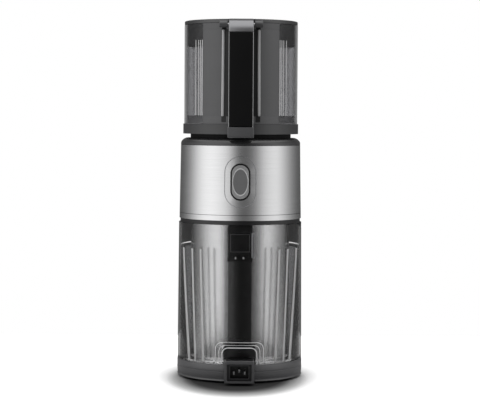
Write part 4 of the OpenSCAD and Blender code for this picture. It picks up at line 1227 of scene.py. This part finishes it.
socket_outside = soft_box(SOCKET_HALF, SOCKET_LOW, SOCKET_HIGH, 1, 1)
socket_inside = soft_box(
    SOCKET_HALF - SOCKET_WALL, SOCKET_LOW + SOCKET_WALL, SOCKET_HIGH - SOCKET_WALL, 0.8, 0.8
)
socket_rim = frame_loop(socket_outside, socket_inside, INLET_FACE + 0.25, INLET_FACE + 2)
piece("socket_rim", socket_rim, "dark_plastic", "base")
tips = bmesh.new()
for x, z in CONTACTS:
    low = (x - CONTACT_HALF_WIDTH, CONTACT_FACE, z - CONTACT_HALF_HEIGHT)
    high = (x + CONTACT_HALF_WIDTH, CONTACT_BACK, z + CONTACT_HALF_HEIGHT)
    add(tips, rounded(block(low, high), 0.5, 3))
piece("pin_tips", tips, "contact_metal", "base", finish="dish_grey")

# %% [markdown]
# The clear containers show bright slanted lines, highlights on their walls, which are painted here
# as pale ribs that lean towards the foot. Each is a sliver of ring up the wall whose rows are turned
# a little further the higher they are, which is a twist without a modifier. Their pale solid finish
# is the painted highlight, since a clear rib this thin would hardly be seen.

# %% Container ribs
CUP_LOW = 26.5
CUP_HIGH = 173.0
RIB_ROWS = 14
PULP_RIB_R = 80.2
# bearings from the rear at the top and at the foot in degrees, and the width in mm
PULP_RIBS = ((66.5, 54.2, 5.0), (50.8, 45.4, 3.2), (39.6, 35.6, 3.0))


def leaning_rib(bearing_top, bearing_foot, r_top, r_foot, width, depth=0.7):
    """A rib up a container's wall, from a bearing at the foot to another at the top, in degrees."""
    shares = [i / RIB_ROWS for i in range(RIB_ROWS + 1)]
    outside = [(r_foot + (r_top - r_foot) * t, CUP_LOW + (CUP_HIGH - CUP_LOW) * t) for t in shares]
    inside = [(r - depth, z) for r, z in outside[::-1]]
    sweep = math.degrees(width / r_foot)
    rib = lathe(outside + inside, bearing_foot - sweep / 2, sweep)
    for vert in rib.verts:
        t = (vert.co.z / MM - CUP_LOW) / (CUP_HIGH - CUP_LOW)
        turned = math.radians((bearing_top - bearing_foot) * t)
        vert.co = Matrix.Rotation(turned, 4, "Z") @ vert.co
    return rounded(rib, 0.25, 2, 60)


# pale ribs: painted highlights on the pulp container's walls
pulp_ribs = bmesh.new()
for top_bearing, foot_bearing, width in PULP_RIBS:
    for side in (-1, 1):
        top, foot = REAR + side * top_bearing, REAR + side * foot_bearing
        add(pulp_ribs, leaning_rib(top, foot, PULP_RIB_R, PULP_RIB_R, width))
piece("pulp_container_ribs", pulp_ribs, "clear_plastic", "pulp_cup", finish="painted_highlight_white")

# %% [markdown]
# The juice container's jacket stands off from its inner cup, and both end beside the column. There
# the highlight on the cup's slanting edge is painted as a pale rib, under a dark ring of painted
# shade at the rim. The rib is made as those of the other container, but its radius grows with its
# height instead of its bearing.

# %% Juice container's rim and ribs
RIM_SHADE = ((77.9, 170.4), (81.6, 170.4), (81.6, 173.7), (77.9, 173.7))
CUP_RIB_BEARINGS = (3, 177)
CUP_RIB_TOP_R = 78.6
CUP_RIB_FOOT_R = 70.8
CUP_RIB_WIDTH = 1.6
CUP_RIB_DEPTH = 2.3

# a dark ring of painted shade under the juice container's rim
rim_shade = lathe(RIM_SHADE, 1, 178)
piece("juice_rim_painted_shade", rim_shade, "dark_smoked", "juice_cup", finish="dark_plastic")
# pale ribs: painted highlights on the juice cup's slanting edges
cup_ribs = bmesh.new()
for bearing in CUP_RIB_BEARINGS:
    rib = leaning_rib(bearing, bearing, CUP_RIB_TOP_R, CUP_RIB_FOOT_R, CUP_RIB_WIDTH, CUP_RIB_DEPTH)
    add(cup_ribs, rib)
piece("juice_cup_ribs", cup_ribs, "clear_plastic", "juice_cup", finish="painted_highlight_white")

# %% [markdown]
# The pulp container steps over the inlet's housing through a notch with round corners, and three
# pale beads of different thickness follow its edge as a painted highlight. They are drawn flat, as
# half an arch that is then mirrored, and laid on the wall's curve afterwards, which keeps their
# corners easy to change.

# %% Beads over the notch
BEAD_WALL_R = 82.55
BEAD_CORNER = 8.0
# half width, top and foot in mm, and the bead's radius
BEADS = ((22.6, 46.4, 25.6, 0.6), (26.6, 49.8, 25.6, 0.35), (31.0, 53.2, 31.0, 0.5))

# pale beads: a painted highlight along the notch's edge
arches = bmesh.new()
for half, top, foot, bead in BEADS:
    line = [(half, foot)] + arc(half - BEAD_CORNER, top - BEAD_CORNER, BEAD_CORNER, 0, 90, 8)
    line += [(-x, z) for x, z in line[::-1]]
    add(arches, rail(wrapped(line, BEAD_WALL_R), bead))
piece("notch_beads", arches, "clear_plastic", "pulp_cup", finish="painted_highlight_white")

# %% [markdown]
# Between the slanting cup and its upright jacket lies a wedge of shade. Light finds its way into
# such a gap through clear walls more than it should in a render, so the shade is painted there as a
# black solid of its own.

# %% Painted shade in a wedge behind the jacket
WEDGE = ((71.6, 27.5), (80.4, 27.5), (80.4, 150), (78.9, 150))
WEDGE_STARTS = (1, 166)
WEDGE_SWEEP = 13

wedge = bmesh.new()
for start in WEDGE_STARTS:
    add(wedge, lathe(WEDGE, start, WEDGE_SWEEP, 360))
piece("jacket_painted_shade", wedge, "dark_smoked", "juice_cup", finish="black_plastic")
print("ribs from", CUP_LOW, "to", CUP_HIGH, "mm")

# %% [markdown]
# The last cell measures the dressed juicer's box, prints its size, and closes the script.

# %% Size of the dressed juicer
low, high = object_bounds()
print("size:", [round(far - near, 4) for near, far in zip(low, high)])
